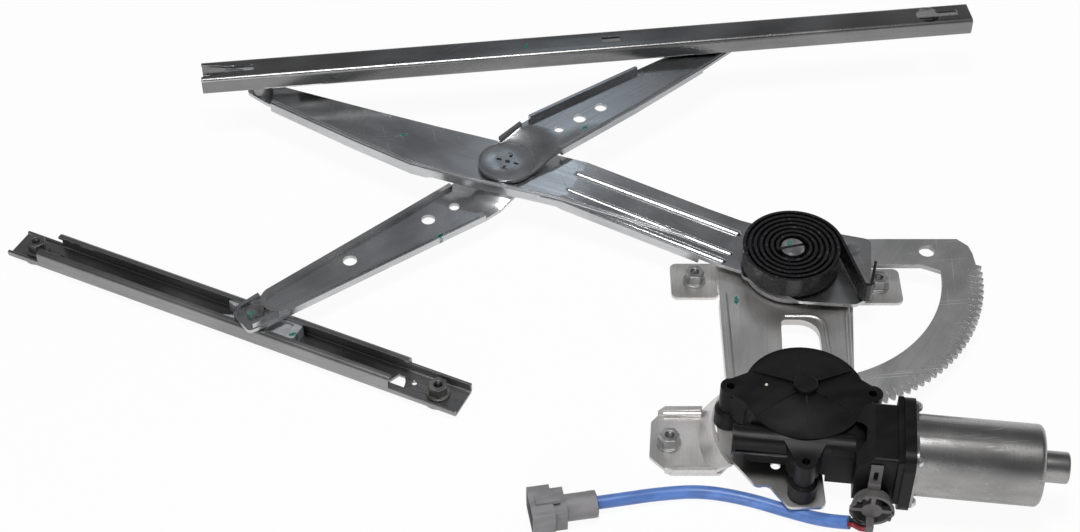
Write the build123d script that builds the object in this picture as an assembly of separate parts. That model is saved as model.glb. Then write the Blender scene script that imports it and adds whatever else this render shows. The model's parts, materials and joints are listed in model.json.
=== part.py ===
"""Power window regulator: a crossed-arm lift with sector gear, spiral spring and gear motor.

It lies flat with the motor side up. The three mounting faces of the base plate are the plane z = 0,
+X runs along the long glass rail towards the motor end, +Y points from the motor to the glass rail,
and the origin is the lower end of the upper left mounting nut. All sizes are millimetres. The
pieces are drawn about the main pivot and moved to the origin when they are written.
"""
from build123d import *
from math import atan2, cos, degrees, hypot, pi, radians, sin, sqrt, tan
import os

os.makedirs("parts", exist_ok=True)

# Linkage: arm lengths and the directions of the arms as they lie
LIFT_INNER = 184.0
LIFT_OUTER = 172.0
LIFT_ANGLE = 155.8
EQUALIZER_ANGLE = 38.3
GUIDE_ANGLE = -25.1
GLASS_ANGLE = (LIFT_ANGLE + EQUALIZER_ANGLE) / 2 - 90

# Mounting nuts of the base plate, measured from the main pivot
NUT_LEFT = (-56.0, 2.5)
NUT_RIGHT = (53.0, -2.0)
NUT_LOWER = (-76.7, -124.0)
THREAD_R = 2.5
PILOT_R = 3.4
NUT_R = 5.0
NUT_FLANGE_R = 6.8
NUT_FLANGE_H = 1.6
NUT_H = 8.0

# Sheet thicknesses and running gaps
BASE_T = 2.0
ARM_T = 2.4
BRACE_T = 2.2
RAIL_T = 1.8
SECTOR_T = 3.0
GAP = 0.3
BORE_GAP = 0.05

# Heights of the layers
WEB_TOP = 12.0
FLANGE_DROP = 6.0
RIDGE_RISE = 0.5
SECTOR_LOW = 13.0
SECTOR_TOP = SECTOR_LOW + SECTOR_T
ARM_LOW = 27.0
ARM_TOP = ARM_LOW + ARM_T
UPPER_PAD_LOW = ARM_TOP + 0.6
UPPER_WEB_LOW = 34.2
LOWER_PAD_LOW = 21.8
LOWER_WEB_LOW = 15.3
GLASS_LOW = 37.2
GLASS_TOP = 49.2
GUIDE_LOW = 2.0
GUIDE_TOP = 14.3

# Pressed shapes of the lift arm, measured along it from the main pivot
RAMP_START = 40.0
RAMP_END = 140.0
LIFT_END_R = 9.0
SKIRT_START = 52.0
SKIRT_STOP = LIFT_INNER + LIFT_OUTER - 11.0
HEM_W = 3.2
HEM_RISE = 0.9
RAMP_RIBS = [((38.0, -11.8), (141.0, -10.0), 3.2, 1.5), ((36.0, 6.0), (141.0, 5.0), 2.4, 0.8),
             ((38.0, 14.0), (141.0, 13.4), 3.0, 1.3)]

# Pivot pin and spiral spring
PIN_R = 6.0
PIN_HEAD_R = 7.2
PIN_FLANGE_R = 11.0
WASHER_R = 13.0
WASHER_T = 1.5
SPRING_LOW = 20.5
SPRING_W = 13.0
SPRING_T = 1.7
SPRING_INNER_R = 8.8
SPRING_OUTER_R = 30.0
SPRING_HALF_TURNS = 13
SPRING_TAIL_ANGLE = 14.0
SLOT_ANGLE = SPRING_TAIL_ANGLE + 180 * SPRING_HALF_TURNS
SPRING_TAIL = 38.5
SPRING_FLARE = 17.0
TAB_T = ARM_T

# Sector gear and pinion
MODULE = 1.6
SECTOR_TEETH = 140
PINION_TEETH = 10
PRESSURE = 25.0
BACKLASH = 0.16
MESH_PLAY = 0.12
SECTOR_ADDENDUM = 1.25
PINION_ADDENDUM = 1.45
ROOT_PLAY = 0.35
SECTOR_R = MODULE * SECTOR_TEETH / 2
PINION_PITCH_R = MODULE * PINION_TEETH / 2
CENTRES = SECTOR_R + PINION_PITCH_R + MESH_PLAY
MESH_ANGLE = -92.4
SECTOR_FIRST = 2.0
SECTOR_LAST = -101.0
SECTOR_INNER_R = 89.0
SECTOR_BAR_TOP = 24.0
SECTOR_BAR_LOW = 2.0
SECTOR_HOLE = (82.6, 13.7)
SECTOR_HOLE_R = 4.7
SECTOR_HUB_R = 27.0
RIVET_R = 2.5
RIVETS = [(38.0, 12.5), (18.5, -13.0), (-14.0, 16.5)]

# Gear motor
MOTOR_TURN = -6.7
WORM_CENTRES = 29.6
MOTOR_Z = 32.0
HOUSING_LOW = 18.0
HOUSING_TOP = 39.0
HOUSING_R = 33.0
COVER_RIM = 1.6
COVER_RISE = 8.0
HUB_R = 6.5
SHAFT_R = 5.0
WHEEL_R = 23.3
WHEEL_LOW = 24.5
WHEEL_T = 12.0
WORM_R = 5.9
TUBE_R = 8.0
TUBE_BORE_R = 6.7
TUBE_END = 28.0
SOCKET = (38.5, 20.0)
SOCKET_R = 7.6
COLLAR_R = 11.8
COLLAR_T = 1.6
COLLAR_REAR_R = SOCKET_R + GAP + COLLAR_T
COLUMN_R = 5.6
COLUMN_BORE_R = 2.2
BOOT_R = 7.6
BOOT_H = 12.0
SCREW_DEPTH = 9.0
EARS = [(-44.6, -115.5), (31.8, -121.0), (-8.4, -167.0)]
CAN_R = 21.9
CAN_START = 58.0
CAN_LENGTH = 67.5
CAN_WALL = 1.6
CAN_FLANGE_T = 1.5
PLATE_HALF_W = 25.0
PLATE_HALF_H = 22.3
PLATE_CORNER = 9.0
BOSS_R = 8.5
BOSS_LENGTH = 14.5
ARMATURE_R = 14.5

# Rails
GLASS_W = 19.0
GLASS_LEFT = 37.0
GLASS_RIGHT = 166.0
NOTCH_LENGTH = 31.0
NOTCH_W = 5.0
NOTCH_MOUTH = 12.0
GLASS_SLOT_X = 224.0
GLASS_SLOT_LENGTH = 12.0
KEYHOLE_INSET = 28.0
KEYHOLE_R = 7.5
GUIDE_W = 22.0
GUIDE_LEFT = 168.0
GUIDE_RIGHT = 134.0
GUIDE_NUT_LEFT_INSET = 14.0
GUIDE_NUT_RIGHT_INSET = 16.0
GUIDE_NUTS = (-GUIDE_LEFT + GUIDE_NUT_LEFT_INSET, GUIDE_RIGHT - GUIDE_NUT_RIGHT_INSET)
LIP = 4.6
BEND_R = 2.6
STUD_R = 3.0


# Base plate: outlines in millimetres from the main pivot
BASE_OUTLINE = [(-43, 20), (-20, 25), (20, 25), (36, 18), (35, -22), (29, -84), (40, -112),
                (42, -130), (26, -138), (4, -152), (4, -176), (-16, -176), (-26, -160),
                (-32, -162), (-50, -135), (-51, -104), (-42, -86)]
WINDOW = [(-8.5, -39), (13, -39), (13, -91), (-11, -91)]
WINDOW_CORNERS = [3.0, 12.0, 3.0, 3.0]
MOTOR_TAB = [(-78, -99), (-86, -108), (-88, -133), (-77, -145), (-50, -145), (-42, -136), (-56, -99)]
TAB_EDGE_H = 5.0
LEFT_EDGE = [(-43, -22), (-41, -22), (-41, -84), (-43, -84)]
RIGHT_EDGE = [(35, -24), (33, -24), (27, -80), (29, -80)]
RIDGES = [[(-37.5, -18), (-35.5, -18), (-35.5, -96), (-37.5, -96)],
          [(-33, -18), (-31.5, -18), (-31.5, -92), (-33, -92)],
          [(26.5, -30), (28.3, -30), (23.4, -86), (21.6, -86)],
          [(17.2, -50), (18.8, -50), (18.8, -88), (17.2, -88)]]
WALL_FOOT_R = 55.0
WALL_SEAT_R = 47.0
DRAIN_HOLE = (-20.7, -147.5)
DRAIN_R = 2.7
FOOT_INSET = 14.0
FOOT_FRONT = 14.0
FOOT_BACK = 14.5

# Arms: outlines in millimetres along and across each arm
LIFT_FAR = [(20, -24), (61, -22.5), (140, -22), (161, -20.5), (200, -17.5), (238, -14.5),
            (279, -12), (349, -8.5)]
LIFT_NEAR = [(349, 9.5), (279, 20.5), (238, 25.5), (200, 23.5), (161, 19), (140, 17), (61, 17), (20, 17)]
END_PLATE = [(-25, 28), (12, 31), (50, 21), (47, -5), (44, -27), (35, -33), (2, -30), (-30, -9)]
HUB_PIVOT_R = 11.0
PAD_R = 18.0
JOGGLE_R = 28.0
SLOT_R = 5.6
UPPER_FAR = [(178, 8), (150, 12), (60, 17.5), (30, 19), (4, PAD_R)]
UPPER_NEAR = [(4, -PAD_R), (22, -16), (90, -14.5), (150, -11), (178, -8)]
UPPER_FLANGE_TOP = 40.4
LOWER_FAR = [(4, -PAD_R), (32, -17.5), (75, -15), (168, -10.2), (184, -9.5), (195, -8)]
LOWER_NEAR = [(195, 10), (184, 12), (168, 12.6), (32, 19.8), (4, PAD_R)]
RECESS_FAR = -3.0
RECESS_NEAR = 4.4
BEAD_H = 2.4
EAR_H = 4.0

# Wires and sleeve from the plug to the end connector
SLEEVE_R = 3.7
CORD = [(15.0, -186.2, 12.0), (4.0, -181.6, 7.2), (-14.0, -173.2, 4.3), (-37.0, -163.6, 3.7),
        (-61.0, -158.4, 3.7), (-84.5, -160.9, 4.2), (-104.59, -165.4, 5.2), (-118.38, -167.83, 5.2)]
WIRE_R = 1.3
WIRE_OUTLET = (38.0, -35.5, 11.5)
END_ANGLE = 190.0
END_REAR = (-118.0, -170.0)


def polar(radius, angle):
    return (radius * cos(radians(angle)), radius * sin(radians(angle)))


PINION = polar(CENTRES, MESH_ANGLE)
CENTRE = polar(LIFT_INNER, LIFT_ANGLE)
LIFT_END = polar(LIFT_INNER + LIFT_OUTER, LIFT_ANGLE)
BRACE_END = (CENTRE[0] + polar(LIFT_OUTER, EQUALIZER_ANGLE)[0],
             CENTRE[1] + polar(LIFT_OUTER, EQUALIZER_ANGLE)[1])
GUIDE_END = (CENTRE[0] - polar(LIFT_INNER, EQUALIZER_ANGLE)[0],
             CENTRE[1] - polar(LIFT_INNER, EQUALIZER_ANGLE)[1])


def flat(points, low, thickness):
    """A flat plate from the corners of its outline."""
    outline = make_face(Polyline(*points, close=True))
    return Pos(0, 0, low) * extrude(outline, amount=thickness)


def disc(x, y, radius, low, height):
    return Pos(x, y, low + height / 2) * Cylinder(radius, height)


def block(x0, x1, y0, y1, z0, z1):
    return Pos((x0 + x1) / 2, (y0 + y1) / 2, (z0 + z1) / 2) * Box(x1 - x0, y1 - y0, z1 - z0)


def ribbon(profile, thickness, width):
    """Sheet bent along X: the profile gives (x, height of the lower face)."""
    lower = [(x, 0, z) for x, z in profile]
    upper = [(x, 0, z + thickness) for x, z in reversed(profile)]
    side = make_face(Polyline(*lower, *upper, close=True))
    return extrude(side, amount=width / 2, dir=(0, 1, 0), both=True)


def place(shape, point, angle):
    """Turn a piece drawn along X and put its zero at a point."""
    return Pos(point[0], point[1], 0) * Rot(0, 0, angle) * shape


def soften(shape, radius):
    """Round the upright edges of a flat plate."""
    return fillet(shape.edges().filter_by(Axis.Z), radius)


def save(name, shape):
    """Move a piece, or a list of like pieces, from the pivot to the origin and write it."""
    pieces = shape if isinstance(shape, list) else shape.solids()
    moved = [Pos(-NUT_LEFT[0], -NUT_LEFT[1], 0) * piece for piece in pieces]
    whole = moved[0] if len(moved) == 1 else Compound(children=moved)
    export_step(whole, "parts/" + name + ".step")
    print(name, len(moved), round(whole.volume, 1))


# Base plate

def flange_nut(x, y, seat):
    """A hexagon nut with a round flange and a pilot that reaches through the sheet to z = 0."""
    hexagon = extrude(RegularPolygon(NUT_R, 6, major_radius=False), amount=NUT_H)
    nut = Pos(x, y, seat) * hexagon + disc(x, y, NUT_FLANGE_R, seat, NUT_FLANGE_H)
    nut += disc(x, y, PILOT_R, 0, seat)
    return nut - disc(x, y, THREAD_R, -1, seat + NUT_H + 2)


def foot(nut, wall_x):
    """A mounting foot round its nut on z = 0, with the wall that carries it up to the web."""
    outer = nut[0] + FOOT_INSET if wall_x < nut[0] else nut[0] - FOOT_INSET
    x0 = min(wall_x, outer)
    x1 = max(wall_x, outer)
    y0 = nut[1] - FOOT_FRONT
    y1 = nut[1] + FOOT_BACK
    pad = soften(block(x0, x1, y0, y1, 0, BASE_T), 4)
    wall = block(wall_x - BASE_T / 2, wall_x + BASE_T / 2, y0 + 4, y1 - 4, 0, WEB_TOP)
    return pad + wall - disc(nut[0], nut[1], PILOT_R, -1, BASE_T + 2)


def motor_wall():
    """The conical wall that climbs from the lower left foot to the motor seat."""
    outer = Cone(WALL_FOOT_R + 0.75 * BASE_T, WALL_SEAT_R + 0.75 * BASE_T, WEB_TOP)
    inner = Cone(WALL_FOOT_R - 0.25 * BASE_T, WALL_SEAT_R - 0.25 * BASE_T, WEB_TOP)
    ring = Pos(PINION[0], PINION[1], WEB_TOP / 2) * (outer - inner)
    side = flat([(-70, -101), (-30, -90), (-30, -134), (-44, -147), (-70, -140)], 0, WEB_TOP)
    return ring & side


def window_face():
    """The opening in the web between the pivot and the motor, with one wide corner."""
    face = make_face(Polyline(*WINDOW, close=True))
    for point, radius in zip(WINDOW, WINDOW_CORNERS):
        face = fillet(face.vertices().sort_by_distance((point[0], point[1], 0))[0], radius)
    return face


def base_plate():
    low = WEB_TOP - BASE_T
    web = soften(flat(BASE_OUTLINE, low, BASE_T), 4)
    window = window_face()
    collar = offset(window, amount=BASE_T, kind=Kind.ARC)
    plate = web + Pos(0, 0, low - 2.4) * extrude(collar, amount=2.4)
    plate -= Pos(0, 0, low - 3) * extrude(window, amount=BASE_T + 4)
    front = flat([(-80, -143), (-76, -145), (-52, -145), (-54, -142.5)], 0, TAB_EDGE_H)
    rear = flat([(-82, -102.5), (-78, -99), (-57, -99), (-58, -101.5)], 0, TAB_EDGE_H)
    plate += soften(flat(MOTOR_TAB, 0, BASE_T), 3) + front + rear + motor_wall()
    for edge in (LEFT_EDGE, RIGHT_EDGE):
        plate += flat(edge, low - FLANGE_DROP, FLANGE_DROP + 1)
    for ridge in RIDGES:
        plate += flat(ridge, WEB_TOP, RIDGE_RISE)
    plate += foot(NUT_LEFT, -42) + foot(NUT_RIGHT, 35)
    plate -= disc(NUT_LOWER[0], NUT_LOWER[1], PILOT_R, -1, BASE_T + 2)
    plate -= disc(DRAIN_HOLE[0], DRAIN_HOLE[1], DRAIN_R, low - 1, BASE_T + 2)
    plate -= disc(0, 0, PIN_R, low - 1, BASE_T + 2)
    plate -= disc(PINION[0], PINION[1], PINION_PITCH_R + 5, low - 1, BASE_T + 2)
    for x, y in EARS:
        plate -= disc(x, y, COLUMN_BORE_R, low - 1, BASE_T + 2)
    return plate


def mount_nuts():
    return [flange_nut(x, y, BASE_T) for x, y in (NUT_LEFT, NUT_RIGHT, NUT_LOWER)]


def pivot_pin():
    """Riveted in the base plate, with a slot across its top for the spring."""
    top = SPRING_LOW + SPRING_W
    low = WEB_TOP - BASE_T
    pin = disc(0, 0, PIN_R, low, top - low)
    pin += disc(0, 0, PIN_FLANGE_R, WEB_TOP, SECTOR_LOW - GAP - WEB_TOP)
    pin += disc(0, 0, PIN_R + 1.5, low - 1.2, 1.2)
    head_low = SECTOR_TOP + ARM_T + GAP + WASHER_T + GAP
    pin += chamfer(disc(0, 0, PIN_HEAD_R, head_low, top - head_low).edges().sort_by(Axis.Z)[-1], 0.8)
    cheek = SPRING_T / 2 + 0.1
    slot = block(-PIN_HEAD_R - 1, PIN_HEAD_R + 1, -cheek, cheek, SPRING_LOW - 0.1, top + 1)
    return pin - place(slot, (0, 0), SLOT_ANGLE)


def pivot_washer():
    ring = disc(0, 0, WASHER_R, SECTOR_TOP + ARM_T + GAP, WASHER_T)
    return ring - disc(0, 0, PIN_R, SECTOR_TOP, 10)


# Sector gear and pinion

def tooth_points(teeth, addendum, mate_addendum, centre_angle, flank_points):
    """One tooth of an involute gear, from its right root to its left root."""
    pitch_r = MODULE * teeth / 2
    base_r = pitch_r * cos(radians(PRESSURE))
    root_r = pitch_r - mate_addendum - ROOT_PLAY
    tip_r = pitch_r + addendum
    half = (pi * MODULE / 2 - BACKLASH) / 2 / pitch_r
    inv_pitch = tan(radians(PRESSURE)) - radians(PRESSURE)
    start_r = max(base_r, root_r)
    flank = []
    for step in range(flank_points):
        radius = start_r + (tip_r - start_r) * step / (flank_points - 1)
        roll = sqrt(max(radius * radius / base_r / base_r - 1, 0))
        spread = half + inv_pitch - (roll - atan2(roll, 1))
        flank.append((radius, spread))
    if root_r < start_r:
        flank.insert(0, (root_r, flank[0][1]))
    middle = radians(centre_angle)
    right = [(r * cos(middle - s), r * sin(middle - s)) for r, s in flank]
    left = [(r * cos(middle + s), r * sin(middle + s)) for r, s in reversed(flank)]
    return right + left


def sector_gear():
    pitch_angle = 360 / SECTOR_TEETH
    first = int((SECTOR_LAST - MESH_ANGLE) / pitch_angle)
    last = int((SECTOR_FIRST - MESH_ANGLE) / pitch_angle)
    toothed = []
    for index in range(first, last + 1):
        toothed += tooth_points(SECTOR_TEETH, SECTOR_ADDENDUM, PINION_ADDENDUM,
                                MESH_ANGLE + index * pitch_angle, 3)
    root_r = SECTOR_R - PINION_ADDENDUM - ROOT_PLAY
    inner = [polar(SECTOR_INNER_R, angle) for angle in range(-2, int(SECTOR_LAST) - 1, -3)]
    top = [polar(root_r, SECTOR_FIRST + 4), (108, 18), (102, SECTOR_BAR_TOP), (0, SECTOR_BAR_TOP),
           (0, SECTOR_BAR_LOW), (78, SECTOR_BAR_LOW)]
    body = flat(toothed + top + inner, SECTOR_LOW, SECTOR_T)
    hub = disc(0, 0, SECTOR_HUB_R, SECTOR_LOW, SECTOR_T)
    corner = flat([(18, 4), (46, 4), (24, -14)], SECTOR_LOW, SECTOR_T)
    sector = body + hub + corner
    sector -= disc(0, 0, PIN_R + BORE_GAP, SECTOR_LOW - 1, SECTOR_T + 2)
    sector -= disc(SECTOR_HOLE[0], SECTOR_HOLE[1], SECTOR_HOLE_R, SECTOR_LOW - 1, SECTOR_T + 2)
    for x, y in RIVETS:
        sector -= disc(x, y, RIVET_R, SECTOR_LOW - 1, SECTOR_T + 2)
    return sector


def sector_rivets():
    """Flush below, with a low head above the arm's end plate."""
    top = SECTOR_TOP + ARM_T
    return [disc(x, y, RIVET_R, SECTOR_LOW, top - SECTOR_LOW) + disc(x, y, 4.0, top, 1.4)
            for x, y in RIVETS]


def pinion_shaft():
    """The output pinion and the shaft that carries it up into the worm wheel."""
    points = []
    for index in range(PINION_TEETH):
        angle = MESH_ANGLE + 180 + (index + 0.5) * 360 / PINION_TEETH
        points += tooth_points(PINION_TEETH, PINION_ADDENDUM, SECTOR_ADDENDUM, angle, 4)
    low = WEB_TOP + 0.5
    gear = flat(points, low, HOUSING_LOW - GAP - low)
    shaft = disc(0, 0, SHAFT_R, HOUSING_LOW - GAP, WHEEL_LOW + WHEEL_T - HOUSING_LOW + 1)
    return place(gear + shaft, PINION, 0)


def output_wheel():
    wheel = disc(0, 0, WHEEL_R, WHEEL_LOW, WHEEL_T)
    wheel -= disc(0, 0, WHEEL_R - 3, WHEEL_LOW + 3, WHEEL_T)
    wheel += disc(0, 0, SHAFT_R + 3.5, WHEEL_LOW, WHEEL_T)
    for index in range(6):
        web = Rot(0, 0, index * 60) * block(SHAFT_R + 3, WHEEL_R - 2.5, -1, 1, WHEEL_LOW, WHEEL_LOW + 9)
        wheel += web
    wheel -= disc(0, 0, SHAFT_R, WHEEL_LOW - 1, WHEEL_T + 2)
    return place(wheel, PINION, 0)


# Gear motor, drawn along X from the point of the worm next to the wheel

def on_motor(shape):
    zero = motor_point(0, 0, 0)
    return place(shape, (zero.X, zero.Y), MOTOR_TURN)


def along(x0, x1, radius, y=0.0, z=MOTOR_Z):
    """A round bar along the motor's axis."""
    return Pos((x0 + x1) / 2, y, z) * Rot(0, 90, 0) * Cylinder(radius, x1 - x0)


def across(y0, y1, radius):
    """A round bar across the motor's axis, at the plug socket."""
    return Pos(SOCKET[0], (y0 + y1) / 2, SOCKET[1]) * Rot(90, 0, 0) * Cylinder(radius, y1 - y0)


def across_cone(y0, y1, radius0, radius1):
    """A cone across the motor's axis, at the plug socket."""
    return Pos(SOCKET[0], (y0 + y1) / 2, SOCKET[1]) * Rot(90, 0, 0) * Cone(radius1, radius0, y1 - y0)


def motor_point(x, y, z):
    """The place of a point given from the motor's own zero."""
    turn = radians(MOTOR_TURN)
    near = (PINION[0] + WORM_CENTRES * sin(turn), PINION[1] - WORM_CENTRES * cos(turn))
    return Vector(near[0] + x * cos(turn) - y * sin(turn), near[1] + x * sin(turn) + y * cos(turn), z)


def ear_reach(x, y):
    """Distance and direction of a screw column from the wheel's centre."""
    return hypot(x - PINION[0], y - PINION[1]), degrees(atan2(y - PINION[1], x - PINION[0]))


def ear_lobe(x, y, low, height):
    """The tapering lobe that joins a screw column to the round of the housing."""
    reach, turn = ear_reach(x, y)
    root = HOUSING_R * 0.62
    flare = HOUSING_R * 0.5
    lobe = flat([(root, -flare), (reach, -COLUMN_R), (reach, COLUMN_R), (root, flare)], low, height)
    return place(lobe, PINION, turn) + disc(x, y, COLUMN_R, low, height)


def gear_housing():
    """Moulded cup for the wheel, the tube of the worm across it, and three screw columns."""
    body = disc(PINION[0], PINION[1], HOUSING_R, HOUSING_LOW, HOUSING_TOP - HOUSING_LOW)
    seat = on_motor(block(-30, TUBE_END, -TUBE_R, 12, HOUSING_LOW, MOTOR_Z))
    tube = on_motor(along(-37, TUBE_END, TUBE_R) + along(-37, -35, TUBE_R + 0.8))
    housing = body + seat + tube
    for x, y in EARS:
        housing += ear_lobe(x, y, HOUSING_LOW + 3, HOUSING_TOP - HOUSING_LOW - 3)
        housing += disc(x, y, COLUMN_R, WEB_TOP, HOUSING_TOP - WEB_TOP)
        boot = disc(x, y, BOOT_R, WEB_TOP, BOOT_H)
        housing += chamfer(boot.edges().sort_by(Axis.Z)[-1], 1.6)
    for x, y in EARS[:2]:
        housing -= disc(x, y, COLUMN_R + 1, HOUSING_TOP - COVER_RIM, COVER_RIM + 1)
    housing -= disc(PINION[0], PINION[1], HOUSING_R, HOUSING_TOP, 10)
    housing -= disc(PINION[0], PINION[1], WHEEL_R + 1.2, WHEEL_LOW - 1.5, HOUSING_TOP)
    housing -= on_motor(along(-34, TUBE_END + 2, TUBE_BORE_R))
    housing -= disc(PINION[0], PINION[1], SHAFT_R + BORE_GAP, HOUSING_LOW - 1, 10)
    for x, y in EARS:
        housing -= disc(x, y, COLUMN_BORE_R, WEB_TOP - 1, HOUSING_TOP)
    return housing


def gear_cover():
    """Shallow conical lid with a round hub, four thin ribs and two wedge-shaped ones."""
    rim = disc(0, 0, HOUSING_R, HOUSING_TOP, COVER_RIM)
    rise = HOUSING_TOP + COVER_RIM
    cone_h = COVER_RISE * 0.45
    cone = Pos(0, 0, rise + cone_h / 2) * Cone(HOUSING_R - 1, HUB_R + 3, cone_h)
    hub = chamfer(disc(0, 0, HUB_R, rise, COVER_RISE).edges().sort_by(Axis.Z)[-1], 0.6)
    lid = rim + cone + hub
    for turn in (90, 210, 270, 330):
        lid += Rot(0, 0, turn) * cover_rib(rise, cone_h, 0.9, 1.3)
    for turn in (30, 150):
        lid += Rot(0, 0, turn) * cover_rib(rise, cone_h, 1.5, 2.6)
    lid = place(lid, PINION, 0)
    for x, y in EARS[:2]:
        reach, turn = ear_reach(x, y)
        lobe = flat([(HOUSING_R * 0.8, -HOUSING_R * 0.42), (reach, -COLUMN_R), (reach, COLUMN_R),
                     (HOUSING_R * 0.8, HOUSING_R * 0.42)], HOUSING_TOP, COVER_RIM)
        lid += place(lobe, PINION, turn) + disc(x, y, COLUMN_R, HOUSING_TOP - COVER_RIM, 2 * COVER_RIM)
    for x, y in EARS[:2]:
        lid -= disc(x, y, COLUMN_BORE_R, HOUSING_TOP - COVER_RIM - 1, COVER_RIM + 8)
    return lid


def cover_rib(rise, cone_h, width, height):
    """A rib of the lid from the rim up to the hub, drawn along X."""
    outer = HOUSING_R - 2.5
    side = make_face(Polyline((HUB_R - 1, 0, rise), (outer, 0, rise), (outer, 0, rise + height * 0.35),
                              (HUB_R - 1, 0, rise + cone_h + height), close=True))
    return extrude(side, amount=width / 2, dir=(0, 1, 0), both=True)


def housing_screws():
    """Screws from below, through the base plate and up into the columns of the housing."""
    screws = []
    low = WEB_TOP - BASE_T
    for x, y in EARS:
        shank = disc(x, y, COLUMN_BORE_R - 0.1, low, HOUSING_TOP - SCREW_DEPTH - low)
        screws.append(shank + disc(x, y, 3.8, low - 2.4, 2.4))
    return screws


def worm_bush():
    ring = along(-34, -28, TUBE_BORE_R) - along(-35, -27, 4.0 + BORE_GAP)
    return on_motor(ring)


def worm_shaft():
    shaft = along(-33, CAN_START + CAN_LENGTH + BOSS_LENGTH - 4, 4.0)
    return on_motor(shaft + along(-18, 18, WORM_R))


def square_flange(x0, x1, half_w, half_h, corner):
    """A plate with round corners across the motor's axis."""
    plate = block(x0, x1, -half_w, half_w, MOTOR_Z - half_h, MOTOR_Z + half_h)
    return fillet(plate.edges().filter_by(Axis.X), corner)


def brush_holder():
    """Moulded block between the gear housing and the motor can, with the plug socket in front."""
    back = CAN_START - 6
    low = MOTOR_Z - 17
    high = MOTOR_Z + 17
    side = make_face(Polyline((TUBE_END, -21, low), (back, -21, low), (back, -21, high),
                              (TUBE_END + 9, -21, high), (TUBE_END, -21, high - 7), close=True))
    body = extrude(side, amount=41, dir=(0, 1, 0))
    body = fillet(body.edges().filter_by(Axis.X), 2.5)
    rib = block(back - 3, back, -23.5, 23.5, MOTOR_Z - 14, MOTOR_Z + 19)
    holder = body + rib + square_flange(back, CAN_START, PLATE_HALF_W, PLATE_HALF_H, PLATE_CORNER)
    holder += across(-27, -20, SOCKET_R)
    holder -= along(TUBE_END - 1, CAN_START + 1, ARMATURE_R)
    holder -= disc(0, WORM_CENTRES, HOUSING_R, 0, 80)
    holder -= across(-28, -21.4, SOCKET_R - 1.8)
    return on_motor(holder)


def motor_can():
    """Drawn can with a screwed flange, a rounded end and a small bearing boss."""
    end = CAN_START + CAN_LENGTH
    can = along(CAN_START, end, CAN_R)
    can = fillet(can.edges().sort_by(Axis.X)[-1], 3)
    can += square_flange(CAN_START, CAN_START + CAN_FLANGE_T, PLATE_HALF_W - 1, PLATE_HALF_H - 1, PLATE_CORNER)
    boss = along(end - 1, end + BOSS_LENGTH, BOSS_R)
    can += fillet(boss.edges().sort_by(Axis.X)[-1], 1.2)
    can -= along(CAN_START - 1, end - CAN_WALL, CAN_R - CAN_WALL)
    return on_motor(can - along(end - 3, end + BOSS_LENGTH - CAN_WALL, BOSS_R - CAN_WALL))


def magnets():
    """Two curved field magnets against the inside of the can."""
    start = CAN_START + 12
    stop = CAN_START + CAN_LENGTH - 8
    ring = along(start, stop, CAN_R - CAN_WALL) - along(start - 1, stop + 1, ARMATURE_R + 1.2)
    keep = block(start, stop, -12, 12, 0, 70)
    return [on_motor(piece) for piece in (ring & keep).solids()]


def rear_bearing():
    end = CAN_START + CAN_LENGTH
    ring = along(end, end + 9, BOSS_R - CAN_WALL) - along(end - 1, end + 10, 4.0 + BORE_GAP)
    return on_motor(ring)


def armature_core():
    start = CAN_START + 14
    stop = CAN_START + CAN_LENGTH - 10
    core = along(start, stop, ARMATURE_R)
    for index in range(8):
        slot = block(start - 1, stop + 1, -1.2, 1.2, ARMATURE_R - 5, ARMATURE_R + 1)
        core -= Pos(0, 0, MOTOR_Z) * Rot(index * 45, 0, 0) * slot
    return on_motor(core - along(start - 1, stop + 1, 4.0))


def commutator():
    ring = along(36, 50, 8.5) - along(35, 51, 4.0)
    return on_motor(ring)


def can_screws():
    heads = []
    seat = CAN_START + CAN_FLANGE_T
    for y, z in ((19.0, 16.6), (-19.0, -16.6)):
        head = along(seat, seat + 2.4, 2.8, y, MOTOR_Z + z)
        heads.append(on_motor(chamfer(head.edges().sort_by(Axis.X)[-1], 0.8)))
    return heads


def motor_plug():
    """Plug in the socket: a core, an open collar, a wire outlet and a latch strap."""
    plug = across(-29, -21.5, SOCKET_R - 2.1)
    plug += across_cone(-31, -23.5, COLLAR_R, COLLAR_REAR_R)
    plug -= across_cone(-31, -23.5, COLLAR_R - COLLAR_T, COLLAR_REAR_R - COLLAR_T) - across(-32, -21, SOCKET_R - 2.1)
    x, z = SOCKET
    plug += block(x - COLLAR_R + 1, x + COLLAR_R - 1, -31, -28, z - 1.2, z + 1.2)
    plug += block(x - 1.2, x + 1.2, -31, -28, z - COLLAR_R + 1, z + COLLAR_R - 1)
    plug += block(WIRE_OUTLET[0] - 2, WIRE_OUTLET[0] + 2, -38.3, -30, WIRE_OUTLET[2] - 2, WIRE_OUTLET[2] + 4)
    strap = block(x - 3.2, x + 3.2, -25, -21.3, z + COLLAR_REAR_R - 0.8, z + COLLAR_R + 14)
    strap &= block(x - 4, x + 4, -22.9, -21.3, 0, 80) + block(x - 4, x + 4, -25, -21.3, 0, z + COLLAR_R + 1.5)
    strap -= block(x - 1.2, x + 1.2, -26, -20, z + COLLAR_R + 3, z + COLLAR_R + 10)
    return on_motor(plug + strap)


# Arms

def outline_band(points, low, height, inset):
    """The rim of a flat outline, as wide as the inset."""
    face = make_face(Polyline(*points, close=True))
    inner = offset(face, amount=-inset, kind=Kind.INTERSECTION)
    return Pos(0, 0, low) * extrude(face - inner, amount=height)


def rib(start, end, radius):
    """A round bar with ball ends, from one point to another."""
    run = Vector(*end) - Vector(*start)
    bar = Plane(origin=start, z_dir=run) * Pos(0, 0, run.length / 2) * Cylinder(radius, run.length)
    return bar + Pos(*start) * Sphere(radius) + Pos(*end) * Sphere(radius)


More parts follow.
